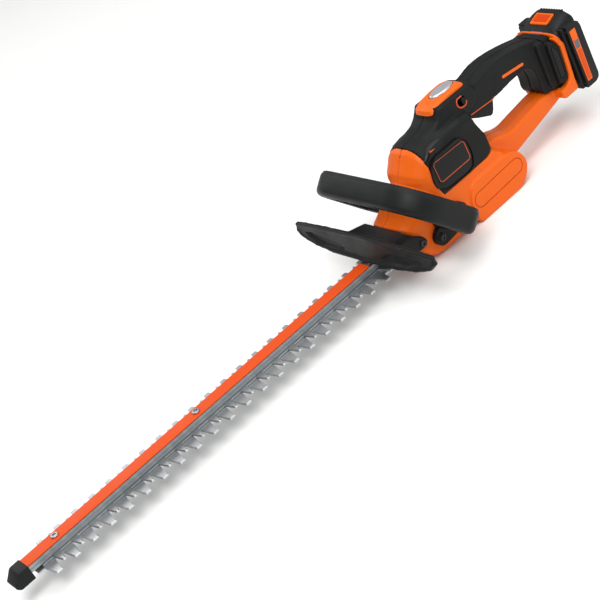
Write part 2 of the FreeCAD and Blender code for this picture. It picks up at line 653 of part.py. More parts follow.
def half_shell(lines, posts, side):
    """One hollow half of a housing, from outlines of several depths, with its screw posts."""
    layers = [layer(points, depth, side) for points, depth in lines]
    cores = [cut(item, hollow(item, side)) for item in layers]
    smooth = [rounded(item, "round_small", far_edge(depth)) for item, (_, depth) in zip(layers, lines)]
    shell = cut(join(*smooth), join(*cores))
    pegs = []
    for x, z, depth in posts:
        pegs.append(rod_y(x, z, "boss_dia / 2", "seam / 2", "%s - wall / 2" % depth, side))
    shell = join(shell, *pegs)
    bores = []
    for x, z, depth in posts:
        bores.append(rod_y(x, z, "case_bolt / 2 + hole_gap", "0", "%s - 6" % depth, side))
        if side < 0:
            bores[-1] = rod_y(x, z, "case_bolt / 2 + hole_gap", "0", "%s + 1" % depth, side)
            bores.append(rod_y(x, z, "case_head / 2 + hole_gap", "%s - case_head_high" % depth, "%s + 1" % depth,
                               side))
    return cut(shell, join(*bores))


def rod_y(x, z, radius, near, far, side):
    """A rod across the machine between two distances from the seam, on one side."""
    start = near if side > 0 else "-(%s)" % far
    return rod(x, start, z, radius, "%s - (%s)" % (far, near), "Y")


def motor_room():
    """The space that the motor needs through the inner walls."""
    return rod(MOTOR_X, "0", "case_top - 6", "can_dia / 2 + 0.5", "can_high + bearing_thick + 18")


def tower_room():
    """The slot that the front of the battery slides in."""
    return box("receiver_x - 1", "-(tower_half + tower_gap)", "tower_low - 2",
               "tower_front + tower_gap - receiver_x + 1", "2 * (tower_half + tower_gap)", "90")


def lower_housing(label, side):
    """The coloured lower shell: gear nose, base, pod, strut and battery rim."""
    shell = half_shell([(LOWER_LINE, "strut_half"), (LOWER_BODY, "body_half"), (POD, "pod_half"),
                        (RIM, "rear_half")], LOWER_POSTS, side)
    blade_way = box("nose_x - 20", "-(spine_half + 9)", "-(comb_thick + clamp_thick + joint_gap)", "30",
                    "2 * (spine_half + 9)",
                    "comb_thick + clamp_thick + joint_gap + %s + 1" % STRIP_TOP)
    bores = [rod_y("nose_x - 14", "7", "case_bolt / 2 + hole_gap", "case_half", "body_half + 1", side)]
    for x in FOOT_HOLES:
        bores.append(rod_y("%s + %s" % (FOOT_X, x), "%s + foot_screw" % FOOT_Z, "case_bolt / 2 + hole_gap",
                           "body_half - wall - 1", "body_half + 1", side))
    bench = box("case_back - joint_gap", "-(case_half + joint_gap)", "-(comb_thick + clamp_thick + joint_gap)",
                "case_front - case_back + 2 * joint_gap", "2 * (case_half + joint_gap)",
                "case_top + comb_thick + clamp_thick + 2 * joint_gap")
    return finish(label, cut(shell, join(blade_way, bench, motor_room(), tower_room(), *bores)))


def upper_housing(label, side):
    """The dark upper shell: shroud, grip and rear block."""
    shell = half_shell([(UPPER_LINE, "grip_half"), (UPPER_BODY, "body_half"), (UPPER_TOP, "top_half"),
                        (UPPER_REAR, "rear_half")], UPPER_POSTS, side)
    trigger_way = box("trigger_x - trigger_long - 5", "-(trigger_half + joint_gap)", "grip_low - 12",
                      "trigger_long + 12", "2 * (trigger_half + joint_gap)", "24")
    lock_way = box("lock_x - lock_long / 2 - joint_gap", "-40", "lock_z - lock_high / 2 - joint_gap",
                   "lock_long + lock_travel + 2 * joint_gap", "80", "lock_high + 2 * joint_gap")
    return finish(label, cut(shell, join(trigger_way, lock_way, motor_room(), tower_room())))


def housing_screws():
    """The screws that hold the halves together, driven from the right."""
    screws = []
    for x, z, depth in LOWER_POSTS + UPPER_POSTS:
        shank = rod(x, "-(%s) + case_head_high" % depth, z, "case_bolt / 2", "%s + 4" % depth, "Y")
        head = rod(x, "-(%s)" % depth, z, "case_head / 2", "case_head_high", "Y")
        screws.append(join(shank, head))
    return finish("housing_screws", join(*screws))


def side_cover(label, side):
    """The octagonal panel on the shroud, with a raised frame and two slots."""
    cover = body("SideCover")
    start = "body_half" if side > 0 else "-body_half"
    back = side < 0
    plane = "-(%s)" % start
    points = [("cover_front - 2", "cover_high"), ("cover_front", "cover_low + 36"),
              ("cover_front - 4", "cover_low + 14"), ("cover_front - 24", "cover_low"),
              ("cover_back + 18", "cover_low"), ("cover_back", "cover_low + 10"), ("cover_back", "cover_high - 20"),
              ("cover_back + 14", "cover_high - 8"), ("cover_front - 22", "cover_high")]
    pad(cover, outline(sketch(cover, "XZ", plane), points), "cover_thick", back=not back)
    face = "-(%s + cover_thick)" % start if side > 0 else "body_half + cover_thick"
    slots = sketch(cover, "XZ", face)
    mid = "(cover_front + cover_back) / 2"
    for z in ("cover_high - 8", "cover_low + 7"):
        outline(slots, rectangle("%s - 17" % mid, "%s + 18" % mid, "%s - 1" % z, "%s + 1" % z))
    pocket(cover, slots, "cover_thick / 2", back=side > 0)
    frame = outline(sketch(cover, "XZ", face), rectangle("%s - 25" % mid, "%s + 26" % mid, "cover_low + 12",
                                                          "cover_high - 19"))
    pad(cover, frame, "0.8", back=not back)
    return finish(label, cover)


def side_badge(label, side):
    """The long round-ended plate on the pod."""
    cover = body("Badge")
    start = "pod_half" if side > 0 else "-pod_half"
    plane = "-(%s)" % start
    plate = sketch(cover, "XZ", plane)
    r = value("badge_high") / 2
    half = value("badge_long") / 2 - r
    x, z = value("badge_x"), value("badge_z")
    for centre, low, high in ((half, -math.pi / 2, math.pi / 2), (-half, math.pi / 2, 3 * math.pi / 2)):
        plate.addGeometry(Part.ArcOfCircle(Part.Circle(Vector(x + centre, z, 0), Vector(0, 0, 1), r), low, high))
    plate.addGeometry(Part.LineSegment(Vector(x + half, z + r, 0), Vector(x - half, z + r, 0)))
    plate.addGeometry(Part.LineSegment(Vector(x - half, z - r, 0), Vector(x + half, z - r, 0)))
    for a, b, c, d in ((0, 2, 2, 1), (2, 2, 1, 1), (1, 2, 3, 1), (3, 2, 0, 1)):
        plate.addConstraint(Sketcher.Constraint("Tangent", a, b, c, d))
    plate.addConstraint(Sketcher.Constraint("Equal", 0, 1))
    plate.addConstraint(Sketcher.Constraint("Horizontal", 2))
    for kind, args, text in (("Radius", (0,), "badge_high / 2"),
                             ("DistanceX", (-1, 1, 0, 3), "badge_x + badge_long / 2 - badge_high / 2"),
                             ("DistanceY", (-1, 1, 0, 3), "badge_z"),
                             ("DistanceX", (-1, 1, 1, 3), "badge_x - badge_long / 2 + badge_high / 2")):
        number = plate.addConstraint(Sketcher.Constraint(kind, *args, value(text)))
        plate.setExpression("Constraints[%d]" % number, bound(text))
    pad(cover, plate, "badge_thick", back=side > 0)
    return finish(label, cover)


def grip_inlay(label, side):
    """The thin coloured strip let on to the side of the grip."""
    y = "grip_half" if side > 0 else "-(grip_half + inlay_thick)"
    strip = box("inlay_x - inlay_long / 2", y, "inlay_z - inlay_high / 2", "inlay_long", "inlay_thick",
                "inlay_high")
    return finish(label, rounded(strip, "inlay_high / 2 - 0.1", along("Y")))


# ---------------------------------------------------------------- guard and bail handle
def guard():
    """The wide hand guard: a bowed plate across the blade, with a collar that meets the gear nose."""
    shield = body("Guard")
    front = [("guard_taper - guard_half", "guard_drop"), ("-guard_half * 0.7", "guard_bow"), ("0", "0"),
             ("guard_half * 0.7", "guard_bow"), ("guard_half - guard_taper", "guard_drop"),
             ("guard_half", "guard_rise"), ("collar_half", "guard_tall"), ("-collar_half", "guard_tall"),
             ("-guard_half", "guard_rise")]
    pad(shield, outline(sketch(shield, "YZ"), front), "guard_thick", back=True)
    recess = sketch(shield, "YZ")
    for side in ("", "-"):
        outline(recess, [(side + "guard_half * 0.3", "guard_bow + 4"), (side + "guard_half * 0.6", "guard_bow + 3"),
                         (side + "guard_half * 0.86", "guard_drop + 8"), (side + "guard_half * 0.5", "guard_drop + 6")])
    pocket(shield, recess, "guard_thick / 2")
    place(shield, "0", "0", "guard_low", Vector(0, -1, 0), value("guard_lean"))
    shield.setExpression("Placement.Rotation.Angle", bound("guard_lean"))
    collar = body("Collar")
    near = outline(sketch(collar, "YZ", "-guard_thick / 2"), [
        ("-collar_half", "guard_low"), ("collar_half", "guard_low"),
        ("collar_half", "guard_low + guard_tall - 2 * collar_drop"),
        ("collar_half - 8", "guard_low + guard_tall - collar_drop"),
        ("8 - collar_half", "guard_low + guard_tall - collar_drop"),
        ("-collar_half", "guard_low + guard_tall - 2 * collar_drop")])
    far = outline(sketch(collar, "YZ", "nose_x + joint_gap"), [
        ("-(body_half)", "guard_low"), ("body_half", "guard_low"), ("body_half", "nose_z - 2"),
        ("body_half - 6", "nose_z + 3"), ("6 - body_half", "nose_z + 3"), ("-(body_half)", "nose_z - 2")])
    loft = collar.newObject("PartDesign::AdditiveLoft", "Loft")
    loft.Profile = near
    loft.Sections = [far]
    loft.Ruled = True
    room = box("nose_x - 1", "-(body_half - guard_wall)", "guard_low + guard_wall", "-nose_x - 3 * guard_thick",
               "2 * (body_half - guard_wall)", "nose_z - guard_low - 2 * guard_wall")
    notch = box("-3 * guard_thick", "-(bar_width / 2 + guard_wall)", "0", "3 * guard_thick",
                "bar_width + 2 * guard_wall", "guard_low")
    ears = [box("nose_x - 20", y, "1", "24", "ear_thick", "14") for y in ("body_half + joint_gap",
                                                                      "-(body_half + joint_gap + ear_thick)")]
    hole = rod("nose_x - 14", "-60", "7", "case_bolt / 2 + hole_gap", "120", "Y")
    return finish("guard", bored(join(shield, collar, *ears), [room, notch, hole]))


def guard_screws():
    """The two screws through the ears of the guard into the nose."""
    screws = []
    for side in (1, -1):
        shank = rod_y("nose_x - 14", "7", "case_bolt / 2", "case_half + joint_gap * 2", "body_half + joint_gap + ear_thick",
                      side)
        head = rod_y("nose_x - 14", "7", "case_head / 2", "body_half + joint_gap + ear_thick",
                     "body_half + joint_gap + ear_thick + case_head_high", side)
        screws.append(join(shank, head))
    return finish("guard_screws", join(*screws))


def bail_handle():
    """The front handle: a wide flat band bent into a loop round the gear housing, with its two feet."""
    outer = rounded(box("0", "-bail_half", "-bail_wide / 2", "bail_reach", "2 * bail_half", "bail_wide"),
                    "bail_round", along("Z"))
    inner = rounded(box("bail_thick", "bail_thick - bail_half", "-bail_wide", "bail_reach - 2 * bail_thick",
                        "2 * (bail_half - bail_thick)", "2 * bail_wide"),
                    "bail_round - bail_thick", along("Z"))
    gap = box("-5", "-(body_half + joint_gap)", "-bail_wide", "bail_thick + 10", "2 * (body_half + joint_gap)",
              "2 * bail_wide")
    loop = cut(outer, join(inner, gap))
    place(loop, "bail_x", "0", "bail_z", Vector(0, 1, 0), -value("bail_tilt"))
    loop.setExpression("Placement.Rotation.Angle", bound("bail_tilt"))
    loop.Placement = Placement(Vector(0, 0, 0), Rotation(Vector(0, -1, 0), value("bail_tilt")))
    feet = [box(FOOT_X, y, FOOT_Z, "foot_long", "foot_thick", "foot_high")
            for y in ("body_half + joint_gap", "-(body_half + joint_gap + foot_thick)")]
    holes = [rod("%s + %s" % (FOOT_X, x), "-60", "%s + foot_screw" % FOOT_Z, "case_bolt / 2 + hole_gap", "120", "Y")
             for x in FOOT_HOLES]
    return finish("bail_handle", cut(join(loop, *feet), join(*holes)))


def bail_screws():
    """The four screws that hold the feet of the front handle."""
    screws = []
    for x in FOOT_HOLES:
        for side in (1, -1):
            face = "body_half + joint_gap + foot_thick"
            x_here, z_here = "%s + %s" % (FOOT_X, x), "%s + foot_screw" % FOOT_Z
            shank = rod_y(x_here, z_here, "case_bolt / 2", "body_half - wall", face, side)
            head = rod_y(x_here, z_here, "case_head / 2", face, face + " + case_head_high", side)
            screws.append(join(shank, head))
    return finish("bail_screws", join(*screws))


# ---------------------------------------------------------------- top panel, buttons and trigger
def oval(x, z, long, wide, high):
    """A solid with an oval plan."""
    line = doc.addObject("Part::Ellipse", "Oval")
    line.setExpression("MajorRadius", bound("(%s) / 2" % long))
    line.setExpression("MinorRadius", bound("(%s) / 2" % wide))
    place(line, x, "0", z)
    solid = doc.addObject("Part::Extrusion", "OvalSolid")
    solid.Base = line
    solid.DirMode = "Custom"
    solid.Dir = Vector(0, 0, 1)
    solid.Solid = True
    solid.setExpression("LengthFwd", bound(high))
    return solid


def top_panel():
    """The coloured hood on top of the shroud that frames the power key."""
    hood = body("TopPanel")
    low = "shroud_z + joint_gap"
    side = [("panel_front", low), ("panel_front - 4", "panel_top - 6"), ("key_x + 4", "panel_top"),
            ("key_x - 20", "panel_top"), ("panel_back", "panel_top - 10"), ("panel_back", low)]
    pad(hood, outline(sketch(hood, "XZ"), side), "2 * panel_half", both=True)
    room = outline(sketch(hood, "XZ"), [
        ("panel_front - panel_thick", low), ("panel_front - 4 - panel_thick", "panel_top - 6 - panel_thick"),
        ("key_x + 4", "panel_top - panel_thick"), ("key_x - 20", "panel_top - panel_thick"),
        ("panel_back + panel_thick", "panel_top - 10 - panel_thick"), ("panel_back + panel_thick", low)])
    pocket(hood, room, "2 * (panel_half - panel_thick)", both=True)
    window = oval("key_x", "shroud_z", "key_long + 2 * joint_gap", "key_wide + 2 * joint_gap", "20")
    return finish("top_panel", cut(hood, window))


def power_key():
    """The oval key that changes the cutting power."""
    crown = oval("key_x", "panel_top + 1.5 - key_high", "key_long", "key_wide", "key_high")
    stem = rod("key_x", "0", BOARD_TOP + " + key_travel + 3.2", "3", "panel_top - 4 - shroud_z - key_travel - 3")
    return finish("power_key", join(crown, stem))


def control_board():
    """The small circuit board under the key."""
    board = box("panel_back + 5", "6 - panel_half", "shroud_z + 0.4", "panel_front - panel_back - 14",
                "2 * (panel_half - 6)", "1.6")
    return finish("control_board", board)


def key_switch():
    """The push switch that the key works."""
    base = box("key_x - 4", "-4", BOARD_TOP, "8", "8", "2.2")
    return finish("key_switch", base)


def trigger():
    """The finger trigger, hinged at its front top corner."""
    lever = body("Trigger")
    side = [("trigger_x + 5", "trigger_z + 2"), ("trigger_x + 5", "trigger_z - 13"),
            ("trigger_x - 19", "trigger_z - trigger_drop - 1"), ("trigger_x - 28", "trigger_z - trigger_drop + 2"),
            ("trigger_x - trigger_long", "trigger_z - 11"), ("trigger_x - 26", "trigger_z - 1"),
            ("trigger_x - 5", "trigger_z + 4")]
    pad(lever, outline(sketch(lever, "XZ"), side), "2 * trigger_half", both=True)
    bore = ring(sketch(lever, "XZ"), "trigger_x", "trigger_z", "trigger_pin / 2 + run_fit")
    pocket(lever, bore, "2 * trigger_half", both=True)
    return finish("trigger", lever)


def trigger_pin():
    """The hinge pin of the trigger."""
    return finish("trigger_pin", rod("trigger_x", "-(grip_half - wall)", "trigger_z", "trigger_pin / 2",
                                     "2 * (grip_half - wall)", "Y"))


def main_switch():
    """The switch above the trigger, with its two terminals."""
    case = box("trigger_x - switch_long - 2", "-switch_half", SWITCH_Z, "switch_long", "2 * switch_half",
               "switch_high")
    tabs = [box("trigger_x - switch_long - 7", y, SWITCH_Z + " + 4", "5", "1", "4") for y in ("-4.5", "3.5")]
    return finish("main_switch", join(case, *tabs))


def lock_slider():
    """The lock-off slider that passes through the neck, with a thumb pad on each side."""
    bar = box("lock_x - lock_long / 2", "-(top_half + lock_stand)", "lock_z - lock_high / 2", "lock_long",
              "2 * (top_half + lock_stand)", "lock_high")
    return finish("lock_slider", bar)


# ---------------------------------------------------------------- battery
def battery_base():
    """The flat rear case of the battery pack, hollow for the cells."""
    slab = rounded(box("slab_back", "-slab_half", "slab_low", "slab_front - slab_back", "2 * slab_half",
                       "slab_high - slab_low"), "round_large", along("X"))
    room = box("slab_back + pack_wall", "pack_wall - slab_half", "slab_low + pack_wall",
               "slab_front - slab_back", "2 * (slab_half - pack_wall)", "slab_high - slab_low - 2 * pack_wall")
    return finish("battery_base", bored(slab, [room] + pack_bores("slab_back - 1")))


def pack_bores(start):
    """The holes for the four screws of the battery case."""
    return [rod(start, y, z, "pack_screw / 2 + hole_gap", "40", "X") for y, z in PACK_SCREWS]


def battery_tower():
    """The front case of the pack: the cover plate, the tower that enters the handle and the latch block."""
    lid = box("slab_front", "-(slab_half - 0.5)", "slab_low + 0.5", "pack_wall", "2 * slab_half - 1",
              "slab_high - slab_low - 1")
    tower = box("slab_front + pack_wall", "-tower_half", "tower_low", "tower_front - slab_front - pack_wall",
                "2 * tower_half", "rim_top + 4 - tower_low")
    block = body("LatchBlock")
    pad(block, outline(sketch(block, "XZ"), LATCH_SIDE), "2 * block_half", both=True)
    room = box("tower_front - cell_dia - 4.4", "-(cell_dia / 2 + 1)", "tower_low + pack_wall", "cell_dia + 3",
               "cell_dia + 2", "cell_long + 0.6")
    press = box("block_front - 9.2 - release_long - joint_gap", "-(release_wide / 2 + joint_gap)", PRESS_FLOOR,
                "release_long + 2 * joint_gap", "release_wide + 2 * joint_gap", "10")
    return finish("battery_tower", bored(join(lid, tower, block), [room, press] + pack_bores("slab_front - 1")))


def battery_cells():
    """Five cells: four lying in the rear case and one standing in the tower."""
    cells = []
    for i in range(4):
        cells.append(rod("slab_back + pack_wall + cell_dia / 2 + 0.2", "-cell_long / 2",
                         "slab_low + pack_wall + cell_dia / 2 + 0.2 + %d * cell_pitch" % i, "cell_dia / 2",
                         "cell_long", "Y"))
    cells.append(rod("tower_front - pack_wall - cell_dia / 2 - 1.3", "0", "tower_low + pack_wall", "cell_dia / 2",
                     "cell_long"))
    return finish("battery_cells", join(*cells))


def release_button():
    """The latch button on the sloping top of the pack."""
    key = body("Release")
    low = PRESS_FLOOR + " + release_travel + joint_gap"
    side = [("block_front - 9.2 - release_long", low), ("block_front - 9.2", low),
            ("block_front - 9.2", "block_high - 4.9 + release_proud"),
            ("block_front - 9.2 - release_long", "block_high - 1 + release_proud")]
    pad(key, outline(sketch(key, "XZ"), side), "release_wide", both=True)
    return finish("release_button", key)


def pack_labels():
    """The coloured strips on both sides of the battery."""
    strips = []
    for y in ("slab_half", "-(slab_half + label_thick)"):
        strips.append(box("(slab_front + slab_back) / 2 - label_wide / 2", y,
                          "(slab_low + slab_high) / 2 - label_high / 2", "label_wide", "label_thick", "label_high"))
    return finish("pack_labels", join(*strips))


def pack_screws():
    """The four screws that close the battery case, driven from the rear."""
    return finish("pack_screws", join(*[rod("slab_back", y, z, "pack_screw / 2", "slab_front - slab_back + pack_wall",
                                            "X") for y, z in PACK_SCREWS]))


def terminal_block():
    """The contact block of the receiver."""
    base = box("tower_front + tower_gap + 0.2", "-12", "tower_low + 10", "4", "24", "22")
    return finish("terminal_block", base)


def main():
    """Build every sub-part, check it and write it to its own file."""
    comb_blade()
    cutter_blade()
    support_bar()
    bar_strip()
    bar_end_cap()
    bar_screws()
    bar_nuts()
    guide_bushes()
    blade_root_screws()
    blade_clamp_plate()
    crank_gear()
    pinion()
    gear_shaft()
    gear_clip()
    gear_case()
    motor_can()
    motor_magnets()
    motor_end_bell()
    motor_bearings()
    rotor()
    motor_fan()
    for side, name in ((1, "left"), (-1, "right")):
        lower_housing("lower_housing_" + name, side)
        upper_housing("upper_housing_" + name, side)
        side_cover("side_cover_" + name, side)
        side_badge("pod_badge_" + name, side)
        grip_inlay("grip_inlay_" + name, side)
    housing_screws()
    guard()
    guard_screws()
    bail_handle()
    bail_screws()
    top_panel()
    power_key()
    key_switch()
    control_board()
    trigger()
    trigger_pin()
    main_switch()
    lock_slider()
    battery_base()
    battery_tower()
    battery_cells()
    release_button()
    pack_labels()
    pack_screws()
    terminal_block()
    doc.recompute()
    faults = [o.Label for o in doc.Objects if {"Invalid", "Error"} & set(o.State)]
    for item in finished:
        if item.Shape.isNull() or not item.Shape.isValid() or not item.Shape.Solids:
            faults.append(item.Label)
    if faults:
        raise ValueError("these did not build: " + ", ".join(faults))
    os.makedirs("parts", exist_ok=True)
    for item in finished:
        item.Shape.exportStep("parts/%s.step" % item.Label)
    whole = FreeCAD.BoundBox()
    for item in finished:
        whole.add(item.Shape.BoundBox)
        print("%-20s solids %2d  volume %9.0f  %s" % (item.Label, len(item.Shape.Solids), item.Shape.Volume,
                                                     [round(v, 1) for v in (item.Shape.BoundBox.XMin,
                                                      item.Shape.BoundBox.XMax, item.Shape.BoundBox.YMin,
                                                      item.Shape.BoundBox.YMax, item.Shape.BoundBox.ZMin,
                                                      item.Shape.BoundBox.ZMax)]))
    print("whole", whole)


main()
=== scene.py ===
"""Looks of a cordless hedge trimmer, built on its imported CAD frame.

Shapes are drawn in millimetres from the maker's zero, which lies on the centre plane, at the
front edge of the hand guard and on the top face of the comb blade: +X towards the blade tip, +Y to
the user's left, +Z up. Each finished mesh is then moved to the frame and scaled to metres.
"""
import logging
import math
from dataclasses import dataclass, field
from enum import Enum

import bmesh
import bpy
from mathutils import Matrix, Vector


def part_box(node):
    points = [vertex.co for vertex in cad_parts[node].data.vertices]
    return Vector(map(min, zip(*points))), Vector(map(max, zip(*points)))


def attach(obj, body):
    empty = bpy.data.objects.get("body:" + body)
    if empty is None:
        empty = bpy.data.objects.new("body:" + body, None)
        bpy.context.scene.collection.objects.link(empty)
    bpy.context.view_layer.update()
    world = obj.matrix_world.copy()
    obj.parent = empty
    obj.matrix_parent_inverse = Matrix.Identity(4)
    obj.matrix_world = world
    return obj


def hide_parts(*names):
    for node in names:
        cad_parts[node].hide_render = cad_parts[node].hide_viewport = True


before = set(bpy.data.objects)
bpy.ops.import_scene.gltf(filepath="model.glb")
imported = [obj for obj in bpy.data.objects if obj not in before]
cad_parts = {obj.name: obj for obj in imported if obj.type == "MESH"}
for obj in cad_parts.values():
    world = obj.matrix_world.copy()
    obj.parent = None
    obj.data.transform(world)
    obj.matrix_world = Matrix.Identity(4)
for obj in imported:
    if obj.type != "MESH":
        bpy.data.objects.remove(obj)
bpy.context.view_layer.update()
LOG = logging.getLogger("hedge_trimmer")

Outline = list[tuple[float, float, float]]
Profile = list[tuple[float, float]]
Shape = bmesh.types.BMesh
MM = 0.001
SEAM = 0.12     # half the gap between the housing halves
WELD = 0.01     # vertices closer than this become one
CREASE = 32.0   # degrees above which an edge stays sharp


class Tone(Enum):
    """Colours of the machine, as sRGB hex values."""

    ORANGE = "#E2600C"
    STRIP = "#D2480A"
    LINE_ORANGE = "#C4501C"
    CHARCOAL = "#0F1111"
    SOFT_BLACK = "#0B0D0D"
    COVER_BLACK = "#0B0C0D"
    STEEL = "#B9BCBE"
    BAR = "#9A9FA2"
    ZINC = "#A9ACB0"
    DARK_STEEL = "#3A3B3D"
    SILVER = "#C9CDD1"
    GREY_LABEL = "#5F666B"
    BRONZE = "#B08A50"
    WINDING = "#A05A2C"
    FERRITE = "#3B3B3E"
    BOARD = "#1F5A34"
    IVORY = "#D8D6CE"
    SLEEVE = "#2C6A9C"
    FLOOR = "#F4F4F2"


def linear(tone: Tone) -> tuple[float, float, float, float]:
    """Turn a tone into linear light.

    Args:
        tone: The colour wanted.

    Returns:
        Red, green, blue and alpha for a shader socket.
    """
    text = tone.value.lstrip("#")
    parts = [int(text[i:i + 2], 16) / 255 for i in (0, 2, 4)]
    red, green, blue = (c / 12.92 if c <= 0.04045 else ((c + 0.055) / 1.055) ** 2.4 for c in parts)
    return red, green, blue, 1.0


def zero_point() -> Vector:
    """Find the maker's zero in the frame, in metres, from the guard's front and the comb's top."""
    guard_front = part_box("guard")[1].x
    comb_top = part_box("comb_blade")[1].z
    return Vector((guard_front, 0.0, comb_top))


ZERO = zero_point()


# ------------------------------------------------------------------ finishes
def add_node(tree: bpy.types.NodeTree, kind: str, settings: dict, links: dict) -> bpy.types.Node:
    """Add one shader node.

    Args:
        tree: The node tree that takes it.
        kind: The node's type name.
        settings: Properties by name, and socket values by socket name.
        links: Output sockets to join to this node's inputs, by input name.

    Returns:
        The new node.
    """
    node = tree.nodes.new(kind)
    for name, setting in settings.items():
        if name in node.inputs:
            node.inputs[name].default_value = setting
        else:
            setattr(node, name, setting)
    for name, output in links.items():
        tree.links.new(output, node.inputs[name])
    return node


def ramp(tree: bpy.types.NodeTree, source: bpy.types.NodeSocket, low: float, high: float,
         start: float = 0.0, end: float = 1.0) -> bpy.types.NodeSocket:
    """Map a 0 to 1 pattern to a range of values.

    Args:
        tree: The node tree.
        source: The pattern.
        low: The value at start.
        high: The value at end.
        start: Where in the pattern the range starts.
        end: Where in the pattern the range ends.

    Returns:
        The mapped value.
    """
    span = {"From Min": start, "From Max": end, "To Min": low, "To Max": high}
    node = add_node(tree, "ShaderNodeMapRange", span, {"Value": source})
    return node.outputs["Result"]


@dataclass(frozen=True)
class Finish:
    """How a surface was made, and what that gives the eye."""

    name: str
    tone: Tone
    roughness: float = 0.45
    metallic: float = 0.0
    grain_mm: float = 0.6
    relief_mm: float = 0.03
    shade: float = 0.06
    brushed: tuple[float, float, float] = (1.0, 1.0, 1.0)
    coat: float = 0.0
    gloss: float = 0.22

    def material(self) -> bpy.types.Material:
        """Make the material once, and give the same one afterwards."""
        known = bpy.data.materials.get(self.name)
        if known:
            return known
        made = bpy.data.materials.new(self.name)
        made.use_nodes = True
        tree = made.node_tree
        shader = tree.nodes["Principled BSDF"]
        shader.inputs["Metallic"].default_value = self.metallic
        if not self.metallic:
            shader.inputs["Specular IOR Level"].default_value = self.gloss
        shader.inputs["Coat Weight"].default_value = self.coat
        shader.inputs["Coat Roughness"].default_value = 0.15
        place = add_node(tree, "ShaderNodeTexCoord", {}, {})
        stretched = add_node(tree, "ShaderNodeMapping", {"Scale": self.brushed},
                             {"Vector": place.outputs["Object"]})
        grain = add_node(tree, "ShaderNodeTexNoise",
                         {"Scale": 1 / MM / self.grain_mm, "Detail": 3.0, "Roughness": 0.6},
                         {"Vector": stretched.outputs["Vector"]})
        # handling marks are tens of millimetres across and change the gloss more than the colour
        marks = add_node(tree, "ShaderNodeTexNoise", {"Scale": 28.0, "Detail": 4.0, "Roughness": 0.65},
                         {"Vector": place.outputs["Object"]})
        gloss = ramp(tree, marks.outputs["Fac"], self.roughness - 0.05, self.roughness + 0.09, 0.3, 0.7)
        tree.links.new(gloss, shader.inputs["Roughness"])
        blend = ramp(tree, grain.outputs["Fac"], 1 - self.shade, 1 + self.shade, 0.25, 0.75)
        tint = add_node(tree, "ShaderNodeMix", {"data_type": "RGBA", "blend_type": "MULTIPLY"}, {})
        tint.inputs["Factor"].default_value = 1.0
        tint.inputs[6].default_value = linear(self.tone)
        tree.links.new(blend, tint.inputs[7])
        tree.links.new(tint.outputs[2], shader.inputs["Base Color"])
        bump = add_node(tree, "ShaderNodeBump", {"Strength": 0.6, "Distance": self.relief_mm * MM},
                        {"Height": grain.outputs["Fac"]})
        tree.links.new(bump.outputs["Normal"], shader.inputs["Normal"])
        return made


# ABS from a polished tool: even colour, a soft sheen and hardly any grain
ORANGE_ABS = Finish("moulded_abs_orange", Tone.ORANGE, 0.36, grain_mm=0.8, relief_mm=0.012, shade=0.025)
STRIP_ABS = Finish("painted_strip_orange", Tone.STRIP, 0.42, grain_mm=0.8, relief_mm=0.01, shade=0.04,
                   gloss=0.2)
LINE_INK = Finish("moulded_line_orange", Tone.LINE_ORANGE, 0.40, grain_mm=0.8, relief_mm=0.01, shade=0.04)
# glass-filled nylon from a spark-eroded tool: fine pits that scatter the light
NYLON = Finish("moulded_nylon_charcoal", Tone.CHARCOAL, 0.46, grain_mm=0.7, relief_mm=0.05, shade=0.10)
# soft elastomer moulded over the grip: matt, with a fine leathery grain
SOFT_GRIP = Finish("overmoulded_elastomer", Tone.SOFT_BLACK, 0.56, grain_mm=0.9, relief_mm=0.06, shade=0.10)
COVER = Finish("moulded_abs_black_gloss", Tone.COVER_BLACK, 0.28, grain_mm=1.0, relief_mm=0.008, shade=0.04)
# spring steel ground after stamping: fine lines across the blade
GROUND_STEEL = Finish("ground_spring_steel", Tone.STEEL, 0.36, 1.0, 0.9, 0.02, 0.10, (1.0, 0.06, 1.0))
ROLLED_STEEL = Finish("rolled_sheet_steel", Tone.STEEL, 0.42, 1.0, 1.2, 0.01, 0.06)
# extruded aluminium: die lines along its length
BAR_ALLOY = Finish("extruded_aluminium", Tone.BAR, 0.40, 1.0, 0.5, 0.02, 0.10, (0.02, 1.0, 1.0))
CAST_ALLOY = Finish("die_cast_aluminium", Tone.BAR, 0.55, 1.0, 1.4, 0.05, 0.08)
ZINC = Finish("zinc_plated_steel", Tone.ZINC, 0.30, 1.0, 0.5, 0.01, 0.06)
BLACK_OXIDE = Finish("black_oxide_steel", Tone.DARK_STEEL, 0.40, 0.8, 0.6, 0.02, 0.08)
KEY_PAINT = Finish("metallic_silver_paint", Tone.SILVER, 0.26, 0.75, 0.35, 0.006, 0.10, coat=0.4)
LABEL = Finish("printed_label_grey", Tone.GREY_LABEL, 0.42, grain_mm=0.8, relief_mm=0.005, shade=0.03)
BRONZE = Finish("sintered_bronze", Tone.BRONZE, 0.5, 1.0, 0.5, 0.03, 0.1)
WINDING = Finish("enamelled_copper_winding", Tone.WINDING, 0.35, 0.8, 0.6, 0.05, 0.12, (1.0, 1.0, 0.2))
FERRITE = Finish("ferrite_magnet", Tone.FERRITE, 0.6, 0.2, 0.6, 0.04, 0.1)
BOARD = Finish("solder_mask_green", Tone.BOARD, 0.3, grain_mm=1.0, relief_mm=0.01, shade=0.08)
IVORY = Finish("moulded_nylon_ivory", Tone.IVORY, 0.45, grain_mm=0.7, relief_mm=0.02, shade=0.04)
SLEEVE = Finish("shrink_sleeve_blue", Tone.SLEEVE, 0.32, grain_mm=1.2, relief_mm=0.02, shade=0.05)
PAPER = Finish("studio_floor", Tone.FLOOR, 0.7, grain_mm=3.0, relief_mm=0.0, shade=0.0)


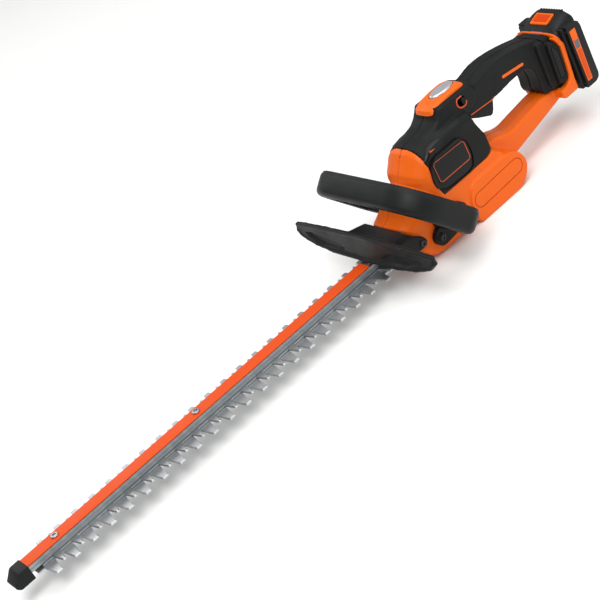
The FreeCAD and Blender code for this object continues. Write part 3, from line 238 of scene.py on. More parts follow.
# ------------------------------------------------------------------ workshop: meshes in millimetres
def rounded(made: Shape, places: list, take: float, steps: int, what: str = "EDGES") -> None:
    """Round some edges or corners of a mesh.

    Args:
        made: The mesh.
        places: The edges or vertices to round.
        take: How much the round takes off each side.
        steps: The number of facets in each round.
        what: EDGES or VERTICES.
    """
    bmesh.ops.bevel(made, geom=places, offset=take, affect=what, segments=steps, profile=0.5,
                    offset_type="OFFSET", clamp_overlap=True, material=-1)


def fresh(outline: Outline, near: float, far: float, rim: float = 0.0, steps: int = 4) -> Shape:
    """Cut a plate from an outline in the XZ plane and round it.

    Args:
        outline: Corners as x, z and the length that rounding takes off each side there.
        near: The y of the plate's inner face.
        far: The y of its outer face.
        rim: The radius round the edge of the outer face.
        steps: The number of facets in each round.

    Returns:
        A closed mesh.
    """
    made = bmesh.new()
    corners = [made.verts.new((x, near, z)) for x, z, _ in outline]
    made.faces.new(corners)
    for corner, (_, _, take) in zip(corners, outline):
        if take > 0:
            rounded(made, [corner], take, steps, "VERTICES")
    pulled = bmesh.ops.extrude_face_region(made, geom=made.faces[:])
    moved = [item for item in pulled["geom"] if isinstance(item, bmesh.types.BMVert)]
    bmesh.ops.translate(made, verts=moved, vec=(0, far - near, 0))
    bmesh.ops.recalc_face_normals(made, faces=made.faces[:])
    if rim > 0:
        edges = [edge for edge in made.edges if all(abs(v.co.y - far) < 1e-4 for v in edge.verts)]
        rounded(made, edges, rim, steps + 1)
    return made


def block(low: tuple, high: tuple, round_off: float = 0.0, steps: int = 3) -> Shape:
    """Make a box between two corners, with all its edges rounded.

    Args:
        low: The lowest corner.
        high: The highest corner.
        round_off: The radius of its edges.
        steps: The number of facets in each round.

    Returns:
        A closed mesh.
    """
    made = bmesh.new()
    size = Vector(high) - Vector(low)
    middle = (Vector(high) + Vector(low)) / 2
    bmesh.ops.create_cube(made, size=1.0, matrix=Matrix.Translation(middle) @ Matrix.Diagonal((*size, 1)))
    if round_off > 0:
        rounded(made, made.edges[:], round_off, steps)
    return made


def turned(centre: tuple, radius: float, length: float, axis: str = "Z", rim: float = 0.0,
           sides: int = 40) -> Shape:
    """Turn a rod whose middle is at centre.

    Args:
        centre: Its middle.
        radius: Its radius.
        length: Its length.
        axis: The axis that it lies along.
        rim: The radius of its end edges.
        sides: The number of facets round it.

    Returns:
        A closed mesh.
    """
    made = bmesh.new()
    turn = {"X": Matrix.Rotation(math.pi / 2, 4, "Y"), "Y": Matrix.Rotation(-math.pi / 2, 4, "X"),
            "Z": Matrix.Identity(4)}[axis]
    bmesh.ops.create_cone(made, cap_ends=True, segments=sides, radius1=radius, radius2=radius, depth=length,
                          matrix=Matrix.Translation(centre) @ turn)
    if rim > 0:
        edges = [edge for edge in made.edges if any(len(face.verts) == sides for face in edge.link_faces)]
        rounded(made, edges, rim, 3)
    return made


def loft(sections: list[list[tuple[float, float, float]]]) -> Shape:
    """Bridge closed sections of equal count into one closed skin.

    Args:
        sections: Rings of points, in order.

    Returns:
        A closed mesh.
    """
    made = bmesh.new()
    rings = []
    for points in sections:
        verts = [made.verts.new(point) for point in points]
        rings.append([made.edges.new((verts[i - 1], verts[i])) for i in range(len(verts))])
    for one, two in zip(rings, rings[1:]):
        bmesh.ops.bridge_loops(made, edges=one + two)
    bmesh.ops.holes_fill(made, edges=made.edges[:], sides=0)
    bmesh.ops.recalc_face_normals(made, faces=made.faces[:])
    return made


def domed(middle: Profile, flank: Profile, half: float, soft: float = 1.0, steps: int = 9,
          seam: float = SEAM) -> Shape:
    """Run the outline at the centre plane over into a smaller one at the side, along a quarter ellipse.

    Args:
        middle: The outline at the centre plane, as x and z.
        flank: The outline at the side, point for point.
        half: The y of the side.
        soft: 1 gives an ellipse, and less a squarer shoulder.
        steps: The number of strips.
        seam: The y of the first outline.

    Returns:
        A closed half.
    """
    rings = []
    for i in range(steps + 1):
        turn = i / steps * math.pi / 2
        share = max(0.0, math.cos(turn)) ** soft
        y = seam + (half - seam) * math.sin(turn) ** soft
        rings.append([(fx + (mx - fx) * share, y, fz + (mz - fz) * share)
                      for (mx, mz), (fx, fz) in zip(middle, flank)])
    return loft(rings)


def capsule(one: tuple[float, float], two: tuple[float, float], radius: float, steps: int = 12) -> Outline:
    """Draw a round-ended slot between two points in the XZ plane.

    Args:
        one: The centre of its first end.
        two: The centre of its second end.
        radius: Its half width.
        steps: The number of facets round each end.

    Returns:
        The outline, with each end as an arc.
    """
    heading = math.atan2(two[1] - one[1], two[0] - one[0])
    points = []
    for centre, start in ((one, heading + math.pi / 2), (two, heading - math.pi / 2)):
        for i in range(steps + 1):
            angle = start + math.pi * i / steps
            points.append((centre[0] + radius * math.cos(angle), centre[1] + radius * math.sin(angle), 0.0))
    return points


def gather(*parts: Shape) -> Shape:
    """Put several meshes into one, and free them."""
    made = bmesh.new()
    for part in parts:
        mesh = bpy.data.meshes.new("part")
        part.to_mesh(mesh)
        part.free()
        made.from_mesh(mesh)
        bpy.data.meshes.remove(mesh)
    return made


def mirrored(part: Shape) -> Shape:
    """Copy a mesh to the machine's other side."""
    made = part.copy()
    bmesh.ops.scale(made, vec=(1, -1, 1), verts=made.verts[:])
    bmesh.ops.reverse_faces(made, faces=made.faces[:])
    return made


def paired(part: Shape) -> Shape:
    """Put a left part and its mirror image into one mesh, and free the part."""
    both = gather(part.copy(), mirrored(part))
    part.free()
    return both


def closed_pair(part: Shape) -> Shape:
    """Join a half that starts at y = 0 to its mirror image, and open the wall between them."""
    whole = paired(part)
    bmesh.ops.remove_doubles(whole, verts=whole.verts[:], dist=WELD)
    middle = [face for face in whole.faces if all(abs(v.co.y) < WELD for v in face.verts)]
    bmesh.ops.delete(whole, geom=middle, context="FACES")
    bmesh.ops.recalc_face_normals(whole, faces=whole.faces[:])
    return whole


def applied(thing: bpy.types.Object) -> bpy.types.Mesh:
    """Bake an object's modifiers into a new mesh."""
    bpy.context.view_layer.update()
    graph = bpy.context.evaluated_depsgraph_get()
    return bpy.data.meshes.new_from_object(thing.evaluated_get(graph))


def shop_object(name: str, part: Shape) -> bpy.types.Object:
    """Stand a mesh on the bench for its modifiers."""
    mesh = bpy.data.meshes.new(name)
    part.to_mesh(mesh)
    part.free()
    thing = bpy.data.objects.new(name, mesh)
    bpy.context.scene.collection.objects.link(thing)
    return thing


def lifted(thing: bpy.types.Object) -> Shape:
    """Take the finished mesh off the bench."""
    mesh = applied(thing)
    made = bmesh.new()
    made.from_mesh(mesh)
    bpy.data.objects.remove(thing)
    bpy.data.meshes.remove(mesh)
    return made


def melted(part: Shape, voxel: float, passes: int) -> Shape:
    """Run overlapping volumes together into one skin with soft inner corners.

    Args:
        part: The volumes.
        voxel: The grid that they are sampled on.
        passes: How often the skin is relaxed.

    Returns:
        One closed mesh.
    """
    thing = shop_object("melt", part)
    grid = thing.modifiers.new("Melt", "REMESH")
    grid.mode = "VOXEL"
    grid.voxel_size = voxel
    relax = thing.modifiers.new("Relax", "SMOOTH")
    relax.factor = 0.5
    relax.iterations = passes
    return lifted(thing)


def carved(part: Shape, tools: Shape) -> Shape:
    """Take rooms out of a solid.

    Args:
        part: The solid.
        tools: Closed volumes to take away.

    Returns:
        What is left.
    """
    thing = shop_object("carve", part)
    tool = shop_object("tool", tools)
    cut = thing.modifiers.new("Carve", "BOOLEAN")
    cut.operation = "DIFFERENCE"
    cut.solver = "EXACT"
    cut.use_self = True
    cut.object = tool
    made = lifted(thing)
    bpy.data.objects.remove(tool)
    return made


def ribs(axis: Vector, start: Vector, pitch: float, count: int, size: Vector,
         round_off: float) -> Shape:
    """Set a row of rounded ribs.

    Args:
        axis: The direction of the row.
        start: The middle of the first rib.
        pitch: The distance between ribs.
        count: How many there are.
        size: Each rib's size.
        round_off: The radius of its edges.

    Returns:
        All the ribs.
    """
    made = []
    for i in range(count):
        middle = start + axis * pitch * i
        made.append(block(tuple(middle - size / 2), tuple(middle + size / 2), round_off, 2))
    return gather(*made)


def swung(part: Shape, angle: float, axis: str, about: tuple) -> Shape:
    """Turn a mesh by degrees about an axis through a point."""
    turn = Matrix.Rotation(math.radians(angle), 3, axis)
    bmesh.ops.rotate(part, cent=about, matrix=turn, verts=part.verts[:])
    return part


def screw_head(centre: tuple, radius: float, high: float, axis: str, way: int = 1) -> Shape:
    """Make a pan head with a socket.

    Args:
        centre: The middle of the face that the head sits on.
        radius: The head's radius.
        high: Its height.
        axis: The screw's axis.
        way: 1 where the head faces along +axis, -1 where it faces the other way.

    Returns:
        A closed mesh.
    """
    made = turned((0, 0, high / 2), radius, high, "Z", high * 0.35, 32)
    top = max(made.faces, key=lambda face: (round(face.calc_center_median().z, 3), face.calc_area()))
    bmesh.ops.inset_region(made, faces=[top], thickness=radius * 0.32, depth=0.0)
    sunk = bmesh.ops.extrude_discrete_faces(made, faces=[top])
    bmesh.ops.translate(made, verts=sunk["faces"][0].verts[:], vec=(0, 0, -high * 0.6))
    turn = {"X": Matrix.Rotation(math.pi / 2 * way, 4, "Y"),
            "Y": Matrix.Rotation(-math.pi / 2 * way, 4, "X"),
            "Z": Matrix.Rotation(0 if way > 0 else math.pi, 4, "X")}[axis]
    bmesh.ops.transform(made, matrix=Matrix.Translation(centre) @ turn, verts=made.verts[:])
    bmesh.ops.recalc_face_normals(made, faces=made.faces[:])
    return made


def piece(name: str, part: Shape, finish: Finish, body: str,
          stands_for: tuple[str, ...] = (), crease: float = CREASE) -> bpy.types.Object:
    """Finish a mesh as a piece of the machine.

    Args:
        name: The piece's name.
        part: Its mesh in the maker's millimetres.
        finish: Its surface.
        body: The moving body that carries it.
        stands_for: The CAD nodes that it replaces.
        crease: The angle in degrees above which an edge stays sharp.

    Returns:
        The piece's object.
    """
    bmesh.ops.transform(part, matrix=Matrix.Translation(ZERO) @ Matrix.Scale(MM, 4), verts=part.verts[:])
    for face in part.faces:
        face.smooth = True
    for edge in part.edges:
        edge.smooth = edge.calc_face_angle(math.pi) < math.radians(crease)
    mesh = bpy.data.meshes.new(name)
    part.to_mesh(mesh)
    part.free()
    mesh.materials.append(finish.material())
    thing = bpy.data.objects.new(name, mesh)
    bpy.context.scene.collection.objects.link(thing)
    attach(thing, body)
    if stands_for:
        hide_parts(*stands_for)
    LOG.info("%s: %d faces on %s", name, len(mesh.polygons), body)
    return thing


def both_sides(name: str, part: Shape, finish: Finish, stands_for: str = "",
               crease: float = CREASE) -> None:
    """Finish a left piece and its mirror image on the right, each for its own CAD node.

    Args:
        name: The pieces' common name.
        part: The left piece's mesh.
        finish: Their surface.
        stands_for: The common name of the CAD nodes, which end in _left and _right.
        crease: The angle above which an edge stays sharp.
    """
    other = mirrored(part)
    for side, mesh in (("left", part), ("right", other)):
        nodes = ("%s_%s" % (stands_for, side),) if stands_for else ()
        piece("%s_%s" % (name, side), mesh, finish, "tool", nodes, crease)


def carried(name: str) -> Shape:
    """Copy a CAD node's mesh to the bench, in the maker's millimetres, with its flat faces whole."""
    made = bmesh.new()
    made.from_mesh(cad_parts[name].data)
    back = Matrix.Scale(1 / MM, 4) @ Matrix.Translation(-ZERO)
    bmesh.ops.transform(made, matrix=back, verts=made.verts[:])
    bmesh.ops.remove_doubles(made, verts=made.verts[:], dist=WELD)
    bmesh.ops.dissolve_limit(made, angle_limit=math.radians(1), verts=made.verts[:], edges=made.edges[:])
    return made


def drawn(*points: tuple) -> list:
    """Give a dataclass field the points of an outline."""
    return field(default_factory=lambda: list(points))


# ------------------------------------------------------------------ blade set
@dataclass
class BladeSet:
    """Comb, cutter, stiffening bar with its strip, end cap and screws."""

    bar_half: float = 9.0
    bar_low: float = 2.6
    bar_top: float = 10.1
    strip_top: float = 11.5
    groove_deep: float = 0.8
    bar_back: float = -44.0
    bar_front: float = 478.0
    cap_half: float = 10.3
    cap_rim: float = 2.4
    screws: tuple[float, float] = (431.0, 245.5)

    def blade(self, node: str, body: str, top: float, spine: float, ground: float) -> None:
        """Dress a toothed blade: its teeth get ground flanks along their upper edges.

        Args:
            node: The CAD node.
            body: The body that carries it.
            top: The height of its top face.
            spine: The half width of its spine.
            ground: The width of the ground flank.
        """
        made = carried(node)
        near, root, shortest = 1.5, 0.6, 1.0
        edges = [edge for edge in made.edges
                 if all(abs(v.co.z - top) < 0.02 and abs(v.co.y) > spine - near for v in edge.verts)
                 and edge.calc_length() > shortest
                 and not all(abs(abs(v.co.y) - spine) < root for v in edge.verts)]
        rounded(made, edges, ground, 1)
        piece(node + "_ground", made, GROUND_STEEL, body, (node,), 12.0)

    def bar(self) -> None:
        """Extrude the bar with a drawn groove along each side."""
        half, low, top = self.bar_half, self.bar_low, self.bar_top
        middle = (low + top) / 2
        floor = half - self.groove_deep
        side = [(half, low), (half, middle - 0.9), (floor, middle - 0.5), (floor, middle + 0.5),
                (half, middle + 0.9), (half, top)]
        ring = side + [(-y, z) for y, z in reversed(side)]
        made = loft([[(x, y, z) for y, z in ring] for x in (self.bar_back, self.bar_front - 0.2)])
        piece("support_bar_extrusion", made, BAR_ALLOY, "tool", ("support_bar",), 20.0)

    def strip(self) -> None:
        """Mould the coloured strip with softly rounded long edges."""
        made = block((2, -8.5, self.bar_top + 0.02), (477, 8.5, self.strip_top), 0.55, 3)
        piece("bar_strip_moulding", made, STRIP_ABS, "tool", ("bar_strip",))

    def cap(self) -> None:
        """Mould the blunt nose of the bar."""
        low, top = -4.0, self.strip_top + 0.4
        side = [(470, low, 0.6), (487, low, 1.5), (492, low + 5, 2.5), (489, 4, 2.0), (482, top, 2.0),
                (470, top, 0.5)]
        half, rim = self.cap_half, self.cap_rim
        made = fresh(side, -half, half, rim, 3)
        edges = [edge for edge in made.edges if all(abs(v.co.y + half) < 1e-3 for v in edge.verts)]
        rounded(made, edges, rim, 4)
        piece("bar_end_cap_moulding", made, NYLON, "tool", ("bar_end_cap",))

    def bolts(self) -> None:
        """Set the pan heads on the strip."""
        heads = [screw_head((x, 0, self.strip_top), 4.25, 1.8, "Z") for x in self.screws]
        piece("bar_screw_heads", gather(*heads), ZINC, "tool", ("bar_screws",))

    def build(self) -> None:
        """Make and dress the whole set."""
        self.blade("comb_blade", "tool", 0.0, 13.0, 0.9)
        self.blade("cutter_blade", "cutter", 2.3, 10.5, 1.3)
        self.bar()
        self.strip()
        self.cap()
        self.bolts()


# ------------------------------------------------------------------ housings
# what the housings leave free: gear case, blade root and battery tower as boxes, the motor as a cylinder
ROOMS: list[tuple[tuple, tuple]] = [
    ((-126.3, -29.7, -5.5), (-53.7, 29.7, 24.3)),
    ((-58.0, -22.3, -5.5), (-26.0, 22.3, 12.4)),
    ((-323.5, -23.7, 23.0), (-303.8, 23.7, 114.0)),
]
MOTOR_ROOM = ((-112.4, 0, 50.5), 19.0, 65.0)


def inner_rooms() -> Shape:
    """Collect the rooms for gear case, blade root, battery tower and motor."""
    parts = [block(low, high) for low, high in ROOMS]
    parts.append(turned(*MOTOR_ROOM))
    return gather(*parts)


@dataclass
class LowerHousing:
    """The orange shell: gear nose, base, pod, strut and battery rim."""

    voxel: float = 1.0
    half: float = 33.0
    pod_half: float = 36.0
    strut_half: float = 15.4
    rim_half: float = 31.0
    badge_front: tuple[float, float] = (-141.0, -1.5)
    badge_rear: tuple[float, float] = (-199.5, 0.5)
    badge_tall: float = 8.2
    crown_middle: Profile = drawn(
        (-171, 31), (-108, 20), (-88, 34), (-79, 50), (-77.5, 60), (-80, 67), (-88, 76.5), (-95, 85.5),
        (-100, 89), (-100, 31))
    crown_flank: Profile = drawn(
        (-171, 28), (-108, 20), (-102, 34), (-99, 46), (-98, 54), (-98, 57), (-98.5, 59), (-99, 61),
        (-100, 62), (-100, 31))
    nose_middle: Profile = drawn(
        (-51, -11), (-62, -23), (-75, -26), (-135, -26), (-150, -22), (-205, -2), (-209, 12),
        (-196, 26), (-181, 35), (-171, 31), (-100, 31), (-88, 60), (-72, 58), (-60, 46), (-48, 37),
        (-37, 31.5), (-37, 3))
    nose_flank: Profile = drawn(
        (-57, -11), (-66, -18), (-80, -20), (-135, -20), (-150, -17), (-195, 0), (-198, 12), (-190, 22),
        (-181, 33), (-171, 31), (-100, 31), (-88, 29), (-76, 27), (-67, 23), (-60, 20), (-55, 16),
        (-54, 4))
    pod: Outline = drawn(
        (-129, -26, 6), (-198, -26, 9), (-213, -14, 8), (-216.5, 0, 8), (-209, 15, 7), (-194, 21, 8),
        (-138, 21, 8), (-128, 4, 6))
    strut: Outline = drawn(
        (-186, -4, 4), (-216, -3, 5), (-262, 6, 12), (-298, 13, 6), (-316, 17, 3), (-316, 31, 0),
        (-282, 31, 4), (-252, 28, 10), (-228, 25, 8), (-206, 33, 8), (-186, 33, 4))
    rim: Outline = drawn(
        (-298, 19, 4), (-322, 19, 3), (-322, 33, 0), (-324, 58, 0), (-326, 76, 3), (-318, 88, 2),
        (-313, 88, 1), (-319.6, 76, 2), (-318.2, 58, 0), (-316.5, 38, 4), (-310, 31, 4), (-298, 30, 2))

    def build(self) -> None:
        """Melt the volumes of one half together, carve its rooms and mirror it."""
        crown = domed(self.crown_middle, self.crown_flank, self.half, 0.9)
        nose = domed(self.nose_middle, self.nose_flank, self.half, 0.95)
        pod = fresh(self.pod, SEAM, self.pod_half, 8, 5)
        strut = fresh(self.strut, SEAM, self.strut_half, 4.5, 4)
        rim = fresh(self.rim, SEAM, self.rim_half, 3, 3)
        skin = melted(gather(crown, nose, pod, strut, rim), self.voxel, 6)
        skin = carved(skin, gather(inner_rooms(), self.badge_line()))
        both_sides("lower_housing_shell", skin, ORANGE_ABS, "lower_housing", 40.0)
        oval = capsule(self.badge_front, self.badge_rear, self.badge_tall)
        plate = fresh(oval, 35.0, self.pod_half + 0.3, 0.4, 6)
        both_sides("pod_badge_plate", plate, ORANGE_ABS, "pod_badge")

    def badge_line(self) -> Shape:
        """Cut the pocket whose edge draws a round-ended line on the pod's side."""
        return fresh(capsule(self.badge_front, self.badge_rear, self.badge_tall + 1), 34.6, 40.0)


@dataclass
class UpperHousing:
    """The dark shell: shroud, neck, grip and rear block."""

    voxel: float = 1.0
    shroud_half: float = 33.0
    neck_half: float = 22.0
    grip_half: float = 17.5
    post_half: float = 23.0
    block_half: float = 29.3
    ribs_start: float = -244.0
    ribs_pitch: float = 3.2
    ribs_count: int = 11
    shroud_middle: Profile = drawn(
        (-100.3, 31.3), (-171, 31.3), (-181, 36), (-182, 56), (-178, 74), (-177, 90), (-160, 92),
        (-132, 92.5), (-119, 92), (-107, 91), (-100.3, 89))
    shroud_flank: Profile = drawn(
        (-100.3, 31.3), (-171, 31.3), (-181, 36), (-181, 56), (-175, 70), (-172, 80), (-156, 82),
        (-136, 76), (-122, 69), (-108, 65), (-100.3, 62))
    neck_middle: Profile = drawn(
        (-118, 80), (-178, 80), (-196, 86), (-205, 92), (-204, 101), (-199, 109), (-146, 109.5),
        (-142.5, 104), (-138, 98.5), (-130, 94.5), (-118, 92.5))
    neck_flank: Profile = drawn(
        (-132, 80), (-178, 80), (-190, 86), (-196, 92), (-196, 97), (-192, 105), (-154, 105.5),
        (-150, 101), (-145, 95), (-139, 89), (-132, 84))
    grip: Outline = drawn(
        (-150, 60, 0), (-178, 57, 4), (-176, 79, 5), (-192, 74, 3), (-226, 72, 6), (-256, 75, 10),
        (-281, 74, 9), (-286.5, 58, 10), (-284, 38, 5), (-289, 31.4, 4), (-303.7, 31.4, 0),
        (-303.7, 93.5, 0), (-290, 97.5, 12), (-268, 102.5, 14), (-248, 105.5, 14), (-230, 106, 8),
        (-212, 101.5, 5), (-200, 101, 3), (-150, 90, 0))
    post: Outline = drawn(
        (-294, 92, 5), (-293, 40, 5), (-297, 31.6, 4), (-312, 31.6, 0), (-318, 60, 0), (-319, 76, 3),
        (-310, 91, 3))
    side_block: Outline = drawn(
        (-303.5, 87, 4), (-301, 36, 5), (-316, 36.5, 4), (-318, 58, 0), (-319.3, 75, 3), (-311, 88, 4))

    def build(self) -> None:
        """Melt the volumes of one half together, carve its rooms, the trigger and lock ways, the side inset
        and the key well, and mirror it.
        """
        lip = fresh([(-184, 73.0, 1), (-219, 70.2, 2), (-231, 77.5, 3), (-231, 88, 3), (-184, 90, 1)],
                    SEAM, 17.0, 2.0, 4)
        saddle = fresh([(-226, 79, 2), (-268, 77.5, 5), (-280, 84, 4), (-250, 91, 5), (-232, 92, 4)],
                       SEAM, 17.8, 1.4, 4)
        parts = [domed(self.shroud_middle, self.shroud_flank, self.shroud_half, 0.85),
                 fresh(self.post, SEAM, self.post_half, 4, 4),
                 domed(self.neck_middle, self.neck_flank, self.neck_half, 0.75),
                 fresh(self.grip, SEAM, self.grip_half, 9.5, 7),
                 fresh(self.side_block, SEAM, self.block_half, 4, 4)]
        skin = melted(gather(*parts, lip, saddle), self.voxel, 5)
        inset = fresh([(-306, 80, 4), (-304.5, 41, 4), (-313, 41, 4), (-314.5, 58, 0), (-315.5, 74, 3),
                       (-309, 82, 3)], 28.7, 34.0)
        trigger_way = block((-233, -8.4, 48), (-186.5, 8.4, 84), 0)
        lock_way = block((-183.4, 16, 93.2), (-172.2, 40, 102.2), 1.2, 2)
        well = TopHood().well()
        skin = carved(skin, gather(inner_rooms(), trigger_way, lock_way, inset, well))
        both_sides("upper_housing_shell", skin, SOFT_GRIP, "upper_housing", 40.0)
        pad = fresh([(-307, 79, 3), (-305.5, 42, 3), (-312.3, 42, 3), (-313.7, 58, 0), (-314.6, 73.6, 3),
                     (-308.6, 81, 3)], 28.0, 29.6, 0.8, 4)
        both_sides("rear_block_pad", pad, NYLON)
        self.stripe()
        self.grip_ribs()

    def stripe(self) -> None:
        """Set the thin coloured inlay into each side of the grip."""
        made = fresh(capsule((-242.5, 85.6), (-272.0, 82.0), 1.7), 16.6, 18.3, 0.4, 5)
        both_sides("grip_inlay_stripe", made, ORANGE_ABS, "grip_inlay")

    def grip_ribs(self) -> None:
        """Mould the fine cross ribs on top of the grip."""
        made = []
        for i in range(self.ribs_count):
            x = self.ribs_start - self.ribs_pitch * i
            # the crest of the grip falls away in a shallow arc behind its highest point
            z = 104.6 - 0.0042 * (x + 240) ** 2
            rib = block((x - 0.7, -8, z - 2.2), (x + 0.7, 8, z + 1.0), 0.6, 2)
            made.append(swung(rib, -14, "Y", (x, 0, z)))
        piece("grip_top_ribs", gather(*made), SOFT_GRIP, "tool")


@dataclass
class SideCover:
    """The glossy cover that swells out of the shroud, with its framed field and two coloured lines."""

    seat: float = 16.0
    face: float = 34.0
    foot: Profile = drawn(
        (-108, 84.5), (-98, 77), (-92, 63), (-90.5, 50), (-93, 41), (-103, 34), (-118, 30.5),
        (-145, 29.3), (-153, 33), (-157.5, 44), (-158, 66), (-154, 77), (-147, 83.5), (-133, 87),
        (-120, 87))
    top: Profile = drawn(
        (-111, 76), (-103, 72.5), (-98, 61), (-96, 49), (-97.5, 42), (-105, 36.5), (-118, 33.5),
        (-144, 32), (-151, 36), (-155, 46), (-155.5, 64), (-152, 71), (-146, 75), (-134, 76.5),
        (-121, 77))
    raised: Outline = drawn(
        (-110, 74.5, 5), (-101.5, 70.5, 5), (-98, 60, 6), (-96.8, 49, 6), (-99, 41.5, 5),
        (-110, 34.8, 5), (-144, 33.2, 5), (-151, 36.5, 4), (-155.5, 47, 5), (-155.5, 63, 5),
        (-151, 72.5, 5), (-143, 75.5, 6))
    panel: Outline = drawn(
        (-103, 72, 5), (-103, 44, 5), (-153, 43.5, 5), (-153, 70, 5))

    def ring(self, outline: Outline, width: float, near: float, far: float) -> Shape:
        """Cut a thin closed frame that follows an outline.

        Args:
            outline: The outline of the frame's outer edge.
            width: The width of the frame.
            near: The y of its back.
            far: The y of its face.

        Returns:
            The frame's mesh.
        """
        made = fresh(outline, near, far, 0.0, 5)
        top = max(made.faces, key=lambda item: item.calc_center_median().y)
        bmesh.ops.inset_region(made, faces=[top], thickness=width, depth=0.0)
        bmesh.ops.translate(made, verts=top.verts[:], vec=(0, near - far + 0.2, 0))
        return made

    def build(self) -> None:
        """Make the cover, its raised table and field, the frame and the lines on both sides."""
        shell = domed(self.foot, self.top, self.face - 2.2, 0.72, 10, self.seat)
        table = fresh(self.raised, 24.0, self.face, 1.0, 5)
        rims = [face for face in table.faces if face.calc_center_median().y > self.face - 0.01]
        bmesh.ops.inset_region(table, faces=rims, thickness=1.1, depth=0.0)
        bmesh.ops.translate(table, verts=rims[0].verts[:], vec=(0, -1.0, 0))
        field_plate = fresh(self.panel, self.face - 2.0, self.face + 0.6, 0.8, 5)
        lines = []
        for z, drop, out in ((79.6, 5.0, 31.2), (38.6, 1.0, 33.9)):
            bar = block((-144, out - 3.0, z - 0.8), (-110, out, z + 0.8), 0.3, 2)
            lines.append(swung(bar, -drop, "Y", (-126, 0, z)))
        cover = gather(shell, table, field_plate)
        both_sides("side_cover_panel", cover, COVER, "side_cover", 28.0)
        inner = [(x * 0.94 - 7.7, 57.5 + (z - 57.5) * 0.88, take - 1) for x, z, take in self.panel]
        frame_line = self.ring(inner, 1.2, self.face + 0.2, self.face + 0.85)
        both_sides("side_cover_lines", gather(frame_line, *lines), LINE_INK)


@dataclass
class TopHood:
    """The orange hood over the neck with the silver key."""

    middle: Profile = drawn(
        (-198.5, 104.5), (-197.5, 108), (-193, 111.5), (-186, 113.4), (-170, 113.4), (-156, 112.2),
        (-147, 110.4), (-142, 107.6), (-140, 103))
    flank: Profile = drawn(
        (-187.5, 106), (-187, 107.6), (-184.5, 109.2), (-180, 109.8), (-170, 109.6), (-162, 108.8),
        (-156, 107.6), (-152, 106.4), (-151, 104.5))
    half: float = 15.8
    key_place: tuple[float, float, float] = (-174.5, 0.0, 111.9)
    key_half: tuple[float, float] = (16.2, 9.2)
    crown: float = 113.4
    shaft: float = 12.0

    def well(self, extra: float = 0.9) -> Shape:
        """Cut the oval shaft that the key moves in."""
        made = turned((0, 0, 0), 1.0, self.shaft, "Z", 0, 64)
        wide, narrow = (size + extra for size in self.key_half)
        bmesh.ops.scale(made, vec=(wide, narrow, 1), verts=made.verts[:])
        bmesh.ops.translate(made, verts=made.verts[:], vec=(self.key_place[0], 0, self.crown))
        return made

    def build(self) -> None:
        """Make the hood, the key in its dark well and the thumb notches at its sides."""
        whole = closed_pair(domed(self.middle, self.flank, self.half, 0.62, 10, 0.0))
        notches = [block((-166, y - 2, 107.6), (-156, y + 2, 108.7), 0.3, 2)
                   for y in (self.half, -self.half)]
        hood = carved(whole, gather(self.well(), *notches))
        piece("top_hood", hood, ORANGE_ABS, "tool", ("top_panel",), 35.0)
        self.key()

    def key(self) -> None:
        """Make the domed oval key and the dark gasket round it."""
        crown = turned((0, 0, 0), 1.0, 5.0, "Z", 0, 64)
        bmesh.ops.scale(crown, vec=(*self.key_half, 1), verts=crown.verts[:])
        rim = [edge for edge in crown.edges if all(v.co.z > 2.4 for v in edge.verts)]
        rounded(crown, rim, 2.4, 6)
        bmesh.ops.translate(crown, verts=crown.verts[:], vec=self.key_place)
        first = Vector((self.key_place[0] + 1, -2.4, 114.1))
        mark = ribs(Vector((0, 1, 0)), first, 2.4, 3, Vector((7, 0.9, 0.7)), 0.3)
        piece("power_key_cap", gather(crown, mark), KEY_PAINT, "power_key", ("power_key",))
        gasket = self.well(0.85)
        bmesh.ops.translate(gasket, verts=gasket.verts[:], vec=(0, 0, 0.2 - self.shaft))
        piece("key_gasket", gasket, NYLON, "tool")


